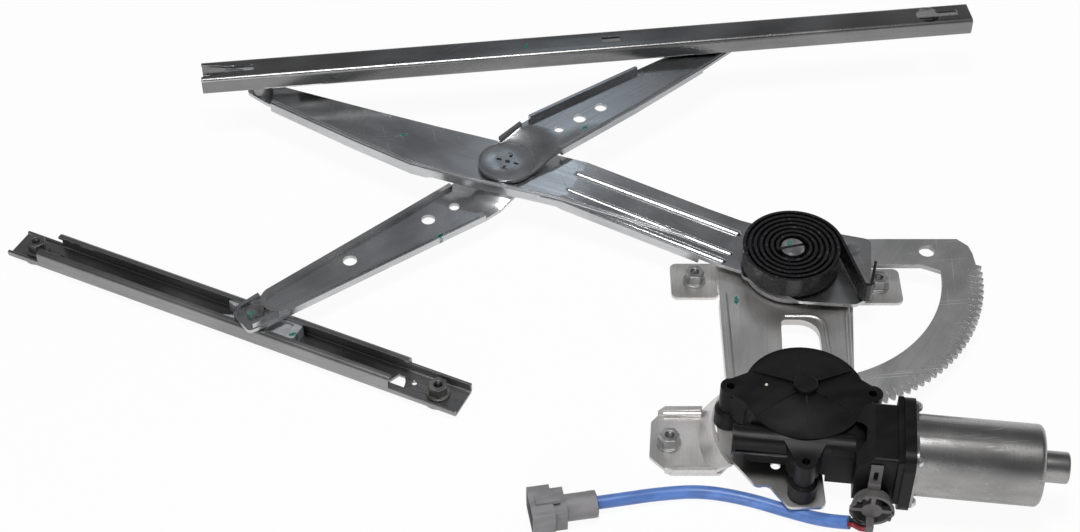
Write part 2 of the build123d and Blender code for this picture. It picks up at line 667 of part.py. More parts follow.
def in_tail(shape):
    """Place a piece drawn along the straight tail of the spring, from where it leaves the coil."""
    return place(shape, polar(SPRING_OUTER_R, SPRING_TAIL_ANGLE), SPRING_TAIL_ANGLE - 90)


def lift_arm():
    """Pressed arm: end plate at the pivot, a ribbed ramp, and a high web with its edges turned down."""
    end = LIFT_INNER + LIFT_OUTER
    outline = LIFT_FAR + [(end + LIFT_END_R, -5), (end + LIFT_END_R, 5)] + LIFT_NEAR
    profile = [(0, SECTOR_TOP), (RAMP_START, SECTOR_TOP), (RAMP_END, ARM_LOW), (end + 20, ARM_LOW)]
    plan = soften(flat(outline, 0, 60), 3)
    web = ribbon(profile, ARM_T, 120) & plan
    skirt = ribbon([(SKIRT_START, 14), (RAMP_END, 23), (RAMP_END + 4, 24.6), (224, 24.6), (228, 23),
                    (SKIRT_STOP, 24)], 20, 120)
    rim = outline_band(outline, 0, 60, ARM_T) & ribbon(profile, -30, 120)
    near = rim & skirt & block(SKIRT_START, SKIRT_STOP, 0, 60, 0, 60)
    far = rim & Pos(0, 0, 1.4) * skirt & block(SKIRT_START, SKIRT_STOP, -60, 0, 0, 60)
    hem = outline_band(outline, ARM_TOP - 0.5, HEM_RISE + 0.5, HEM_W)
    hem &= block(RAMP_END + 14, SKIRT_STOP, 0, 60, 0, 60)
    slope = (ARM_LOW - SECTOR_TOP) / (RAMP_END - RAMP_START)
    ribs = []
    for (x0, y0), (x1, y1), radius, rise in RAMP_RIBS:
        sink = SECTOR_TOP + ARM_T - radius + rise
        low = (x0, y0, sink + max(x0 - RAMP_START, 0) * slope)
        high = (x1, y1, sink + (x1 - RAMP_START) * slope)
        ribs.append(rib(low, high, radius))
    arm = web + near + far + hem
    above = ribbon(profile, 12, 120)
    for one in ribs:
        arm += one & above
    arm = place(arm, (0, 0), LIFT_ANGLE)
    arm += soften(flat(END_PLATE, SECTOR_TOP, ARM_T), 5)
    face = SPRING_T / 2 + GAP
    arm += in_tail(block(SPRING_TAIL - 8, SPRING_TAIL - 1, face, face + TAB_T, SECTOR_TOP,
                         SPRING_LOW + SPRING_W - 2))
    arm -= disc(0, 0, PIN_R + BORE_GAP, 0, 60)
    arm -= disc(CENTRE[0], CENTRE[1], HUB_PIVOT_R + BORE_GAP, 0, 60)
    arm -= disc(LIFT_END[0], LIFT_END[1], STUD_R, 0, 60)
    for x, y in RIVETS:
        arm -= disc(x, y, RIVET_R, 0, 60)
    return arm


def dished(pad_low, web_low):
    """Sheet with a flat pad round the pivot, a conical joggle and a flat web beyond it."""
    reach = 240
    lower = [(0, 0, pad_low), (PAD_R - 1, 0, pad_low), (JOGGLE_R, 0, web_low), (reach, 0, web_low)]
    upper = [(x, 0, z + BRACE_T) for x, _, z in reversed(lower)]
    return revolve(make_face(Polyline(*lower, *upper, close=True)), axis=Axis.Z)


def pad_slots(pad_low):
    """The rivet of the hub seen as a small hole and four short slots round it."""
    cuts = disc(0, 0, 1.6, pad_low - 1, BRACE_T + 2)
    for index in range(4):
        slot = block(SLOT_R - 1.6, SLOT_R + 1.6, -0.9, 0.9, pad_low - 1, pad_low + BRACE_T + 1)
        cuts += Rot(0, 0, 30 + index * 90) * slot
    return cuts


def equalizer_upper_arm():
    """Pad on the hub, conical joggle, and a web with a flange turned up behind and down in front."""
    outline = UPPER_NEAR + [(183, -4), (183, 4)] + UPPER_FAR
    plan = soften(flat(outline, 0, 60), 2.5)
    arm = dished(UPPER_PAD_LOW, UPPER_WEB_LOW) & (plan + disc(0, 0, PAD_R, 0, 60))
    rim = outline_band(outline, 0, 60, BRACE_T)
    down = ribbon([(30, UPPER_WEB_LOW - 2.6), (150, UPPER_WEB_LOW - 1.6)], 2.8, 80)
    arm += rim & down & block(30, 150, -40, 0, 0, 60)
    up = ribbon([(31, UPPER_WEB_LOW), (114, UPPER_WEB_LOW)], UPPER_FLANGE_TOP - UPPER_WEB_LOW, 80)
    arm += rim & up & block(31, 114, 0, 40, 0, 60)
    ear = ribbon([(4, UPPER_PAD_LOW), (24, UPPER_PAD_LOW + 3.6)], 5.5, 80)
    arm += rim & ear & block(7, 24, 0, 40, 0, 60)
    for x, radius in ((40.5, 3.1), (57, 4.1), (74, 3.9)):
        arm -= disc(x, 0.4, radius, 0, 60)
    arm -= disc(LIFT_OUTER, 0, STUD_R, 0, 60)
    return place(arm - pad_slots(UPPER_PAD_LOW), CENTRE, EQUALIZER_ANGLE)


def equalizer_lower_arm():
    """Pad under the lift arm, conical joggle down, and a web with a raised edge round a long recess."""
    outline = LOWER_FAR + LOWER_NEAR
    plan = soften(flat(outline, 0, 60), 2.5)
    arm = dished(LOWER_PAD_LOW, LOWER_WEB_LOW) & (plan + disc(0, 0, PAD_R, 0, 60))
    top = LOWER_WEB_LOW + BRACE_T
    inner = [(x, y - RECESS_FAR) for x, y in LOWER_FAR[1:4]] + [(x, y - RECESS_NEAR) for x, y in LOWER_NEAR[2:4]]
    border = flat(LOWER_FAR[1:4] + LOWER_NEAR[2:4], top - 0.2, BEAD_H + 0.2)
    far_end = (LOWER_FAR[3][1] - RECESS_FAR + LOWER_NEAR[2][1] - RECESS_NEAR) / 2
    end_r = (LOWER_NEAR[2][1] - RECESS_NEAR - LOWER_FAR[3][1] + RECESS_FAR) / 2
    border += disc(LOWER_FAR[3][0], far_end, end_r + 3, top - 0.2, BEAD_H + 0.2)
    recess = flat(inner, top, BEAD_H + 1) + disc(LOWER_FAR[3][0], far_end, end_r, top, BEAD_H + 1)
    border -= recess
    border &= block(JOGGLE_R + 4, LIFT_INNER, -40, 40, 0, 60)
    arm += border & plan
    groove = flat([(36, 17.6), (36, 18.6), (164, 11.7), (164, 10.7)], top + BEAD_H - 0.9, 3)
    arm -= groove
    for side in (LOWER_FAR[-2:], LOWER_NEAR[:2]):
        (x0, y0), (x1, y1) = sorted(side)
        lean = BRACE_T if y0 < 0 else -BRACE_T
        arm += flat([(x0 - 8, y0), (x1 - 3, y1), (x1 - 3, y1 + lean), (x0 - 8, y0 + lean)], top, EAR_H) & plan
    for x, y, radius in ((40.8, -0.6, 3.2), (59.9, -1.2, 4.2), (117, -1.5, 4.2)):
        arm -= disc(x, y, radius, 0, 60)
    arm -= disc(LIFT_INNER, 0, STUD_R, 0, 60)
    return place(arm - pad_slots(LOWER_PAD_LOW), CENTRE, EQUALIZER_ANGLE + 180)


def centre_hub():
    """Turned hub that joins the two equalizer arms through the lift arm."""
    low = LOWER_PAD_LOW + BRACE_T
    hub = disc(0, 0, HUB_PIVOT_R, low, UPPER_PAD_LOW - low)
    hub += disc(0, 0, HUB_PIVOT_R + 3, low, ARM_LOW - GAP - low)
    hub -= disc(0, 0, 3.0, low - 1, 20)
    return place(hub, CENTRE, 0)


def stud(point, low, head_low, head_h, spacer_top):
    """A shouldered stud: riveted end in the arm, spacer, neck and head in the slider."""
    pin = disc(0, 0, STUD_R, low, head_low + head_h - low)
    if spacer_top > low + ARM_T:
        pin += disc(0, 0, 6.5, low + ARM_T, spacer_top - low - ARM_T)
    return place(pin, point, 0)


def lift_stud():
    return stud(LIFT_END, ARM_LOW, GLASS_LOW + 2.3, 6.0, GLASS_LOW - 0.6)


def glass_stud():
    return stud(BRACE_END, UPPER_WEB_LOW, GLASS_LOW + 2.3, 6.0, 0)


def guide_stud():
    low = GUIDE_LOW + RAIL_T + 0.8
    top = LOWER_WEB_LOW + BRACE_T
    pin = disc(0, 0, STUD_R, low, top - low) + disc(0, 0, 5.2, top, 2.2)
    return place(pin, GUIDE_END, 0)


def slider(point, angle, low, high, width, back, front):
    """Moulded slider block with a bore for its stud: forked at one end, a wedge at the other."""
    half = width / 2
    body = flat([(-back, -half + 1.5), (-back + 3, -half), (front - 7, -half), (front, -half + 5),
                 (front, half - 2), (front - 2, half), (-back + 3, half), (-back, half - 1.5)],
                low, high - low)
    body -= flat([(-back - 1, -half + 3), (-back + 11, -1.6), (-back + 11, 1.6), (-back - 1, half - 3)],
                 low - 1, high - low + 2)
    body -= block(9, front - 5, -half + 3, half - 3, high - 2.5, high + 1)
    body -= disc(0, 0, STUD_R + BORE_GAP, low - 1, high - low + 2)
    return place(body, point, angle)


def lift_slider():
    low = GLASS_LOW + RAIL_T + GAP
    return slider(LIFT_END, GLASS_ANGLE, low, GLASS_TOP - RAIL_T - GAP, GLASS_W - 2 * RAIL_T - 0.6, 22, 22)


def equalizer_slider():
    low = GLASS_LOW + RAIL_T + GAP
    return slider(BRACE_END, GLASS_ANGLE, low, GLASS_TOP - RAIL_T - GAP, GLASS_W - 2 * RAIL_T - 0.6, 22, 22)


def guide_slider():
    low = GUIDE_LOW + RAIL_T + GAP
    high = GUIDE_TOP - RAIL_T - GAP
    return slider(GUIDE_END, GUIDE_ANGLE, low, high, GUIDE_W - 2 * RAIL_T - 0.6, 22, 27)


# Rails

def channel(x0, x1, width, low, high, open_up):
    """Rolled channel with round bends and returned lips, open upwards or downwards."""
    height = high - low
    outer = RectangleRounded(width, height, BEND_R)
    inner = RectangleRounded(width - 2 * RAIL_T, height - 2 * RAIL_T, BEND_R - RAIL_T)
    side = 1 if open_up else -1
    mouth = Pos(0, side * height / 2) * Rectangle(width - 2 * LIP, 2 * RAIL_T + 0.4)
    section = outer - inner - mouth
    start = Plane(origin=(x0, 0, (low + high) / 2), x_dir=(0, 1, 0), z_dir=(1, 0, 0))
    return extrude(start * section, amount=x1 - x0)


def glass_rail():
    """Long rail under the window glass: notch at the left, short slot, keyhole at the right."""
    half = LIFT_OUTER * sin(radians((LIFT_ANGLE - EQUALIZER_ANGLE) / 2))
    x0 = -GLASS_LEFT
    x1 = 2 * half + GLASS_RIGHT
    rail = channel(x0, x1, GLASS_W, GLASS_LOW, GLASS_TOP, False)
    low = GLASS_TOP - RAIL_T - 1
    flare = NOTCH_LENGTH * 0.6
    rail -= flat([(x0 - 1, -NOTCH_MOUTH / 2), (x0 + flare, -NOTCH_W / 2), (x0 + NOTCH_LENGTH, -NOTCH_W / 2),
                  (x0 + NOTCH_LENGTH, NOTCH_W / 2), (x0 + flare, NOTCH_W / 2), (x0 - 1, NOTCH_MOUTH / 2)],
                 low, RAIL_T + 2)
    rail -= disc(x0 + NOTCH_LENGTH, 0, NOTCH_W / 2, low, RAIL_T + 2)
    middle = x0 + GLASS_SLOT_X + GLASS_LEFT
    rail -= block(middle - GLASS_SLOT_LENGTH / 2, middle + GLASS_SLOT_LENGTH / 2,
                  -NOTCH_W / 2, NOTCH_W / 2, low, low + RAIL_T + 2)
    rail -= disc(x1 - KEYHOLE_INSET, 0, KEYHOLE_R, low, RAIL_T + 2)
    rail -= block(x1 - KEYHOLE_INSET, x1 - 10, -NOTCH_W / 2, NOTCH_W / 2, low, low + RAIL_T + 2)
    rail -= disc(x1 - 10, 0, NOTCH_W / 2, low, RAIL_T + 2)
    return place(rail, LIFT_END, GLASS_ANGLE)


def guide_rail():
    """Short rail that is screwed to the door, with both ends opened for its nuts."""
    rail = channel(-GUIDE_LEFT, GUIDE_RIGHT, GUIDE_W, GUIDE_LOW, GUIDE_TOP, True)
    lip_low = GUIDE_LOW + RAIL_T + 1.2
    rail -= block(-GUIDE_LEFT - 1, -GUIDE_LEFT + 26, 0, GUIDE_W, lip_low, GUIDE_TOP + 1)
    rail -= block(-GUIDE_LEFT - 1, -GUIDE_LEFT + 22, -GUIDE_W, 0, lip_low + 2, GUIDE_TOP + 1)
    rail -= block(GUIDE_RIGHT - 42, GUIDE_RIGHT + 1, -GUIDE_W, 0, lip_low + 2, GUIDE_TOP + 1)
    rail -= block(GUIDE_RIGHT - 38, GUIDE_RIGHT + 1, 0, GUIDE_W, lip_low + 4, GUIDE_TOP + 1)
    for x in GUIDE_NUTS:
        rail += disc(x, 0, 9.0, 0, GUIDE_LOW + 0.5)
        rail -= disc(x, 0, PILOT_R, -1, GUIDE_LOW + RAIL_T + 2)
    floor = GUIDE_LOW + RAIL_T + 1
    rail -= block(-GUIDE_LEFT + 34, -GUIDE_LEFT + 44, -3.5, -0.5, 0, floor)
    rail -= disc(-GUIDE_LEFT + 29, 0, 1.6, 0, floor)
    rail -= flat([(GUIDE_RIGHT - 46, -4), (GUIDE_RIGHT - 36, -4), (GUIDE_RIGHT - 37, 0), (GUIDE_RIGHT - 39, 3.4),
                  (GUIDE_RIGHT - 43, 3.4)], 0, floor)
    rail -= disc(GUIDE_RIGHT - 32, 1.5, 1.5, 0, floor)
    return place(rail, GUIDE_END, GUIDE_ANGLE)


def guide_rail_nuts():
    nuts = []
    for x in GUIDE_NUTS:
        nuts.append(place(flange_nut(x, 0, GUIDE_LOW + RAIL_T), GUIDE_END, GUIDE_ANGLE))
    return nuts


# Spiral spring

def coil_band():
    """The coil as half circles about two centres in turn, each one larger than the last."""
    step = (SPRING_OUTER_R - SPRING_INNER_R) / SPRING_HALF_TURNS
    half = SPRING_T / 2
    band = []
    for index in range(SPRING_HALF_TURNS):
        side = 1 if index % 2 == 0 else -1
        radius = SPRING_OUTER_R - step * (index + 0.5)
        ring = Cylinder(radius + half, SPRING_W) - Cylinder(radius - half, SPRING_W + 2)
        keep = block(-40, 40, 0, 40, -SPRING_W, SPRING_W) if side > 0 else block(-40, 40, -40, 0, -SPRING_W, SPRING_W)
        band.append(Pos(side * step / 2, 0, SPRING_W / 2) * (ring & keep))
    return Rot(0, 0, SPRING_TAIL_ANGLE) * (band[0] + band[1:])


def counter_spring():
    """Flat strip wound clockwise outwards, from the slot of the pin to the hook on the arm."""
    half = SPRING_T / 2
    leg = block(-PIN_R + 1, SPRING_INNER_R + half, -half, half, 0, SPRING_W)
    hook_r = half + GAP + TAB_T / 2
    tail = block(-half, SPRING_TAIL, -half, half, 0, SPRING_W)
    bend = disc(0, 0, hook_r + half, 0, SPRING_W) - disc(0, 0, hook_r - half, -1, SPRING_W + 2)
    bend &= block(0, 9, -9, 9, 0, SPRING_W)
    flare = Rot(0, 0, 152) * block(-0.3, SPRING_FLARE, -half, half, 0, SPRING_W)
    hook = tail + Pos(SPRING_TAIL, hook_r, 0) * bend + Pos(SPRING_TAIL, 2 * hook_r, 0) * flare
    spring = coil_band() + place(leg, (0, 0), SLOT_ANGLE) + in_tail(hook)
    return Pos(0, 0, SPRING_LOW) * spring


# Cable

def corner_radii(points):
    radii = []
    for before, here, after in zip(points, points[1:], points[2:]):
        first = Vector(*here) - Vector(*before)
        second = Vector(*after) - Vector(*here)
        turn = first.get_angle(second)
        radii.append(0.45 * min(first.length, second.length) / tan(radians(turn / 2)))
    return radii


def loom_sleeve():
    """The sleeve lies on the surface, as straight runs joined by arcs."""
    radii = corner_radii(CORD)
    print("cord radii", [round(radius, 1) for radius in radii])
    path = FilletPolyline(*CORD, radius=radii)
    start = Plane(origin=CORD[0], z_dir=path % 0)
    tube = sweep(start * Circle(SLEEVE_R), path=path)
    print("cord volume", round(tube.volume, 1), "from its length", round(pi * SLEEVE_R ** 2 * path.length, 1))
    return tube


def motor_wire(side):
    """One of the two wires from the outlet of the plug into the sleeve."""
    back = (Vector(*CORD[0]) - Vector(*CORD[1])).normalized()
    across_sleeve = Vector(back.Y, -back.X, 0).normalized() * side
    end = Vector(*CORD[0]) + across_sleeve
    x, y, z = WIRE_OUTLET
    origin = motor_point(x - 2.0, y - side, z)
    path = FilletPolyline(origin, motor_point(x - 4.5, y - side, z), end + back * 2.5, end, radius=1.5)
    return sweep(Plane(origin=origin, z_dir=path % 0) * Circle(WIRE_R), path=path)


def end_connector():
    """Connector at the end of the sleeve: round rear, neck and an open rectangular head."""
    radius = 7.4
    rear = Pos(8.5, 0, radius) * Rot(0, 90, 0) * Cylinder(radius, 17)
    rear += Pos(2.5, 0, radius) * Rot(0, 90, 0) * Cylinder(radius + 0.1, 3)
    neck = block(17, 24, -9, 9, 0.4, 14.6)
    head = block(24, 36, -11.5, 11.5, 0, 16.4)
    head = fillet(head.edges().filter_by(Axis.X), 2)
    shell = rear + neck + head + block(20, 33, -3, 3, 16, 18)
    shell -= block(26, 37, -9.7, 9.7, 1.8, 14.6)
    shell += block(24, 29.5, -6, 6, 5, 11)
    return place(shell, END_REAR, END_ANGLE)


save("base_plate", base_plate())
save("mount_nuts", mount_nuts())
save("pivot_pin", pivot_pin())
save("pivot_washer", pivot_washer())
save("gear_housing", gear_housing())
save("gear_cover", gear_cover())
save("housing_screws", housing_screws())
save("worm_bush", worm_bush())
save("brush_holder", brush_holder())
save("motor_can", motor_can())
save("can_screws", can_screws())
save("magnets", magnets())
save("rear_bearing", rear_bearing())
save("motor_plug", motor_plug())
save("motor_wire_red", motor_wire(1.5))
save("motor_wire_black", motor_wire(-1.5))
save("loom_sleeve", loom_sleeve())
save("end_connector", end_connector())
save("output_wheel", output_wheel())
save("pinion_shaft", pinion_shaft())
save("worm_shaft", worm_shaft())
save("armature_core", armature_core())
save("commutator", commutator())
save("lift_arm", lift_arm())
save("sector_gear", sector_gear())
save("sector_rivets", sector_rivets())
save("counter_spring", counter_spring())
save("lift_stud", lift_stud())
save("equalizer_upper_arm", equalizer_upper_arm())
save("equalizer_lower_arm", equalizer_lower_arm())
save("centre_hub", centre_hub())
save("glass_stud", glass_stud())
save("guide_stud", guide_stud())
save("lift_slider", lift_slider())
save("equalizer_slider", equalizer_slider())
save("guide_slider", guide_slider())
save("glass_rail", glass_rail())
save("guide_rail", guide_rail())
save("guide_rail_nuts", guide_rail_nuts())
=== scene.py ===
"""Looks of a power window regulator: pressed zinc-plated arms and rails, a toothed sector, a black
spiral spring and a black gear motor with its blue sleeve, lying on a pale table."""
import json
import math

import bmesh
import bpy
from mathutils import Matrix, Vector
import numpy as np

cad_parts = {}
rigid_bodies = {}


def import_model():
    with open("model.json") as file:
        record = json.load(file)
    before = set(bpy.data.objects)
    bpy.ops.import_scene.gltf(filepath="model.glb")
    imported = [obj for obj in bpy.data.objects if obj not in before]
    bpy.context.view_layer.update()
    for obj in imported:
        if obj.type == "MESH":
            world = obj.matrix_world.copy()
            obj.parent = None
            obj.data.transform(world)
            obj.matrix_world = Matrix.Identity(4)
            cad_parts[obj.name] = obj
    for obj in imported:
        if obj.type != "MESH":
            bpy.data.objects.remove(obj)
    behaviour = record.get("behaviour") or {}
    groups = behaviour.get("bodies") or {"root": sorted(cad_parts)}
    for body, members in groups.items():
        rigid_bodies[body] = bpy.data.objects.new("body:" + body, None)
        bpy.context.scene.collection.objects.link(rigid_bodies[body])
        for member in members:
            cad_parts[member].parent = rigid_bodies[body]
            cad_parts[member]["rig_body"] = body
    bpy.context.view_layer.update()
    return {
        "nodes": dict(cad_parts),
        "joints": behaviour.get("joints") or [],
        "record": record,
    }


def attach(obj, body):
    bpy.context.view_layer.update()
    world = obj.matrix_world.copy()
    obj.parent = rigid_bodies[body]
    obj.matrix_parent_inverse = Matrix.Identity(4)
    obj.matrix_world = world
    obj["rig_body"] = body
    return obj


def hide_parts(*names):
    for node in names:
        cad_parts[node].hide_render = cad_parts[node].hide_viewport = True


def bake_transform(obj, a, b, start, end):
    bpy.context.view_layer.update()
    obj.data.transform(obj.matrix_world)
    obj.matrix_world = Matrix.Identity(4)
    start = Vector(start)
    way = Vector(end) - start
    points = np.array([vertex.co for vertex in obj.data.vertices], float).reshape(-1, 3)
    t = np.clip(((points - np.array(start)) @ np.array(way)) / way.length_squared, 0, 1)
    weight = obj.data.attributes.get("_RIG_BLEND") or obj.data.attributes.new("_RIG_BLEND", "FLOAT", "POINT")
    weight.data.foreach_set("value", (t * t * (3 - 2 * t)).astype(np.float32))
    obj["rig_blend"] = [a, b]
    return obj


bl_info = {
    "name": "Window regulator finish",
    "version": (1, 0, 0),
    "blender": (4, 5, 0),
    "location": "View3D > Sidebar > Regulator",
    "description": "Builds the finished surfaces and small parts of a window regulator",
    "category": "Object",
}

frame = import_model()
JOINTS = {joint["name"]: joint for joint in frame["joints"]}
PIVOT = Vector(JOINTS["lift_pivot"]["pos_m"])
MOTOR_ZERO = Vector(JOINTS["rotor_spin"]["pos_m"])
MOTOR_AXIS = Vector(JOINTS["rotor_spin"]["axis"])
MM = 0.001

# Made once each, when they are first asked for
MATERIALS = {}
TREES = {}

# Colours, and how white the table and the room look
TEAL = (0.0, 0.13, 0.105, 1)
FLOOR_GLOW = 0.94
FLOOR_REFLECTED = 0.5
ROOM_STOPS = [(0.0, (0.85, 0.85, 0.85, 1)), (0.3, (0.42, 0.42, 0.43, 1)), (0.55, (0.15, 0.15, 0.155, 1)),
              (0.8, (0.16, 0.16, 0.165, 1)), (1.0, (0.3, 0.3, 0.3, 1))]

# In metres: the table's height, a pattern length too long to show, and distances at which corners merge
TABLE_TOP = -0.0002
FLAT = 1000.0
WELD = 2e-6
TINY = 1e-6

# Sizes in millimetres that the small parts share with the model
THREAD_PITCH = 1.0
THREAD_FOOT = 0.6
TOOTH_COUNT = 140
TIP_R = 113.1
FACET_R = 109.6
FACET_LENGTH = 6.5
SPRING_EYE_R = 8.8
SPRING_TAIL_R = 29.0
CAN_SEAT = 59.5
CAN_SCREW = (19.0, 16.6)
TUBE_R = 8.0
HOLDER_BORE_R = 14.5
SHAFT_GAP_R = 5.5
SLEEVE_R = 3.7
SOCKET = (38.5, 20.0)
COLLAR_MOUTH = -31.0
COLLAR_TOOTH_R = 11.2
CONNECTOR_REAR = (-118.0, -170.0, 7.4)
CONNECTOR_TURN = 190.0
COVER_PIP = (-25.4, -116.2, 42.6)
HUB_MARK_R = 7.4

# Heights of the sheets and paths of the ridges on them, in millimetres, each along its own arm or plate
LIFT_TOP = 30.2
LIFT_HEM = [(345, 7.4), (279, 18.0), (238, 23.0), (200, 21.2), (161, 16.8), (140, 14.9), (62, 14.9)]
UPPER_TOP = 36.4
UPPER_HEM = [(30, -13.6), (90, -12.3), (150, -8.8), (172, -6.6)]
PAD_TOP = 32.2
BASE_TOP = 12.0
BASE_BEADS = [[(-39.6, -18), (-39.6, -92)], [(31.0, -24), (26.8, -86)],
              [(-6, -35.5), (16.6, -35.5), (17.5, -88)]]
TAB_TOP = 2.4
TAB_BEADS = [[(-76, -142.6), (-52, -142.6)], [(-79, -102.8), (-58, -102.8)]]

# Outlines on the motor, along and across it in millimetres
NECK = [(15, -7.5), (33, -7.5), (33, 12), (26, 15), (15, 12)]
SKIRT = [(14, -8), (28.5, -8), (28.5, -2), (14, -2)]
UNDER_TUBE = [(-36.8, -9), (6.5, -9), (6.5, -3.4), (-36.8, -3.4)]
NECK_HEIGHTS = (22.0, 38.0)
SKIRT_HEIGHTS = (12.6, 30.0)
UNDER_TUBE_HEIGHTS = (12.0, 32.0)
MOULD_DRAFT = 0.98
HOLDER_WALL = (33.2, 34.8)

# Where the camera stands, in millimetres from the pivot, and how far it is tilted from straight down
VIEW_PLACE = (-148, -836, 853)
VIEW_TILT = 45


def heading(start, end):
    """Direction in the plane from one joint's place to another's, in radians."""
    away = Vector(JOINTS[end]["pos_m"]) - Vector(JOINTS[start]["pos_m"])
    return math.atan2(away.y, away.x)


ALONG_LIFT = heading("lift_pivot", "lift_slider_pivot")
ALONG_EQUALIZER = heading("guide_slider_pivot", "equalizer_slider_pivot")
ALONG_GLASS = math.atan2(*JOINTS["glass_rail_slide"]["axis"][1::-1])
ALONG_GUIDE = math.atan2(*JOINTS["guide_rail_slide"]["axis"][1::-1])

# Route of the sleeve, from the wires of the plug to the end connector, in millimetres from the pivot
SLEEVE_ROUTE = [(15.0, -186.2, 12.0), (4.0, -181.6, 7.2), (-14.0, -173.2, 4.3), (-37.0, -163.6, 3.7),
                (-61.0, -158.4, 3.7), (-84.5, -160.9, 4.2), (-104.59, -165.4, 5.2),
                (-118.38, -167.83, 5.2)]


def along_arm(joint, turn, x, y):
    """A point given along and across an arm from one of its joints, as x, y from the pivot."""
    start = (Vector(JOINTS[joint]["pos_m"]) - PIVOT) / MM
    return (start.x + x * math.cos(turn) - y * math.sin(turn),
            start.y + x * math.sin(turn) + y * math.cos(turn))


def from_pivot(x, y, z):
    """A point given in millimetres from the pivot's foot, in the frame's metres."""
    return Vector((PIVOT.x + x * MM, PIVOT.y + y * MM, z * MM))


# Node trees as expressions

class Wire:
    """An output of a node. Arithmetic on it adds Math nodes."""

    def __init__(self, tree, socket):
        self.tree = tree
        self.socket = socket

    def maths(self, operation, first, second=0.0):
        return self.tree.node("ShaderNodeMath", {"operation": operation}, {0: first, 1: second})

    def __add__(self, other):
        return self.maths("ADD", self, other)

    def __radd__(self, other):
        return self.maths("ADD", other, self)

    def __sub__(self, other):
        return self.maths("SUBTRACT", self, other)

    def __rsub__(self, other):
        return self.maths("SUBTRACT", other, self)

    def __mul__(self, other):
        return self.maths("MULTIPLY", self, other)

    def __rmul__(self, other):
        return self.maths("MULTIPLY", other, self)

    def limited(self):
        return self.maths("MINIMUM", self, 1.0)

    def cosine(self):
        return self.maths("COSINE", self)

    def sine(self):
        return self.maths("SINE", self)


class Tree:
    """A node tree under construction: nodes come from one method."""

    def __init__(self, tree):
        self.tree = tree

    def node(self, kind, settings, inputs, output=0):
        made = self.tree.nodes.new(kind)
        for name, value in settings.items():
            if name == "stops":
                self.set_stops(made.color_ramp, value)
            else:
                setattr(made, name, value)
        for name, value in inputs.items():
            self.feed(made.inputs[name], value)
        return Wire(self, made.outputs[output])

    def set_stops(self, ramp, stops):
        while len(ramp.elements) < len(stops):
            ramp.elements.new(1.0)
        for element, (place, colour) in zip(ramp.elements, stops):
            element.position = place
            element.color = colour

    def feed(self, socket, value):
        if isinstance(value, Wire):
            self.tree.links.new(value.socket, socket)
        else:
            socket.default_value = value


class Recipe(Tree):
    """A material under construction, which ends in one shader."""

    def __init__(self, name):
        self.material = bpy.data.materials.new(name)
        self.material.use_nodes = True
        super().__init__(self.material.node_tree)
        self.shader = self.tree.nodes["Principled BSDF"]

    def place(self, size=(1, 1, 1), turn=0.0, centre=(0, 0, 0)):
        """Object coordinates about a centre, turned about Z and divided by a size in metres."""
        here = self.node("ShaderNodeTexCoord", {}, {}, "Object")
        return self.node("ShaderNodeMapping", {"vector_type": "TEXTURE"},
                         {"Vector": here, "Location": centre, "Rotation": (0, 0, turn), "Scale": size})

    def noise(self, vector, scale=1.0, detail=2.0, rough=0.5):
        return self.node("ShaderNodeTexNoise", {},
                         {"Vector": vector, "Scale": scale, "Detail": detail, "Roughness": rough})

    def grain(self, length, width, turn=0.0, detail=2.0):
        """Noise whose grains are long one way, in metres."""
        return self.noise(self.place((length, width, width), turn), 1.0, detail)

    def range(self, value, low, high, to_low=0.0, to_high=1.0):
        return self.node("ShaderNodeMapRange", {}, {0: value, 1: low, 2: high, 3: to_low, 4: to_high})

    def mix(self, share, first, second):
        return self.node("ShaderNodeMix", {"data_type": "RGBA"}, {0: share, 6: first, 7: second}, 2)

    def bump(self, height, strength, distance):
        bumped = self.node("ShaderNodeBump", {},
                           {"Height": height, "Strength": strength, "Distance": distance})
        self.feed(self.shader.inputs["Normal"], bumped)

    def scratches(self, turn):
        """Thin straight handling marks in one direction, in loose patches."""
        lines = self.grain(0.07, 0.0009, turn, 1.0)
        patches = self.grain(0.025, 0.025, turn + 0.4)
        return self.range(lines, 0.68, 0.73) * self.range(patches, 0.48, 0.6)

    def dabs(self, marks):
        """Brushed dabs of marking paint: each is x, y from the pivot, length, width and direction."""
        paint = 0.0
        fuzz = self.noise(self.place(), 700.0, 2.0, 0.6)
        for x, y, length, width, turn in marks:
            size = (length * MM / 2, width * MM / 2, FLAT)
            spot = self.place(size, math.radians(turn), from_pivot(x, y, 0))
            reach = self.node("ShaderNodeVectorMath", {"operation": "LENGTH"}, {0: spot}, "Value")
            paint = paint + self.range(reach + fuzz * 1.1, 1.25, 1.5, 1.0, 0.0)
        return paint * self.range(fuzz, 0.36, 0.46) if marks else 0.0

    def finish(self, **sockets):
        for name, value in sockets.items():
            self.feed(self.shader.inputs[name.replace("_", " ")], value)
        return self.material


# Materials

def grey(level, warm=0.0):
    """A near-neutral colour; warm above zero leans to yellow, below zero to blue."""
    return (level * (1 + warm), level, level * (1 - warm), 1.0)


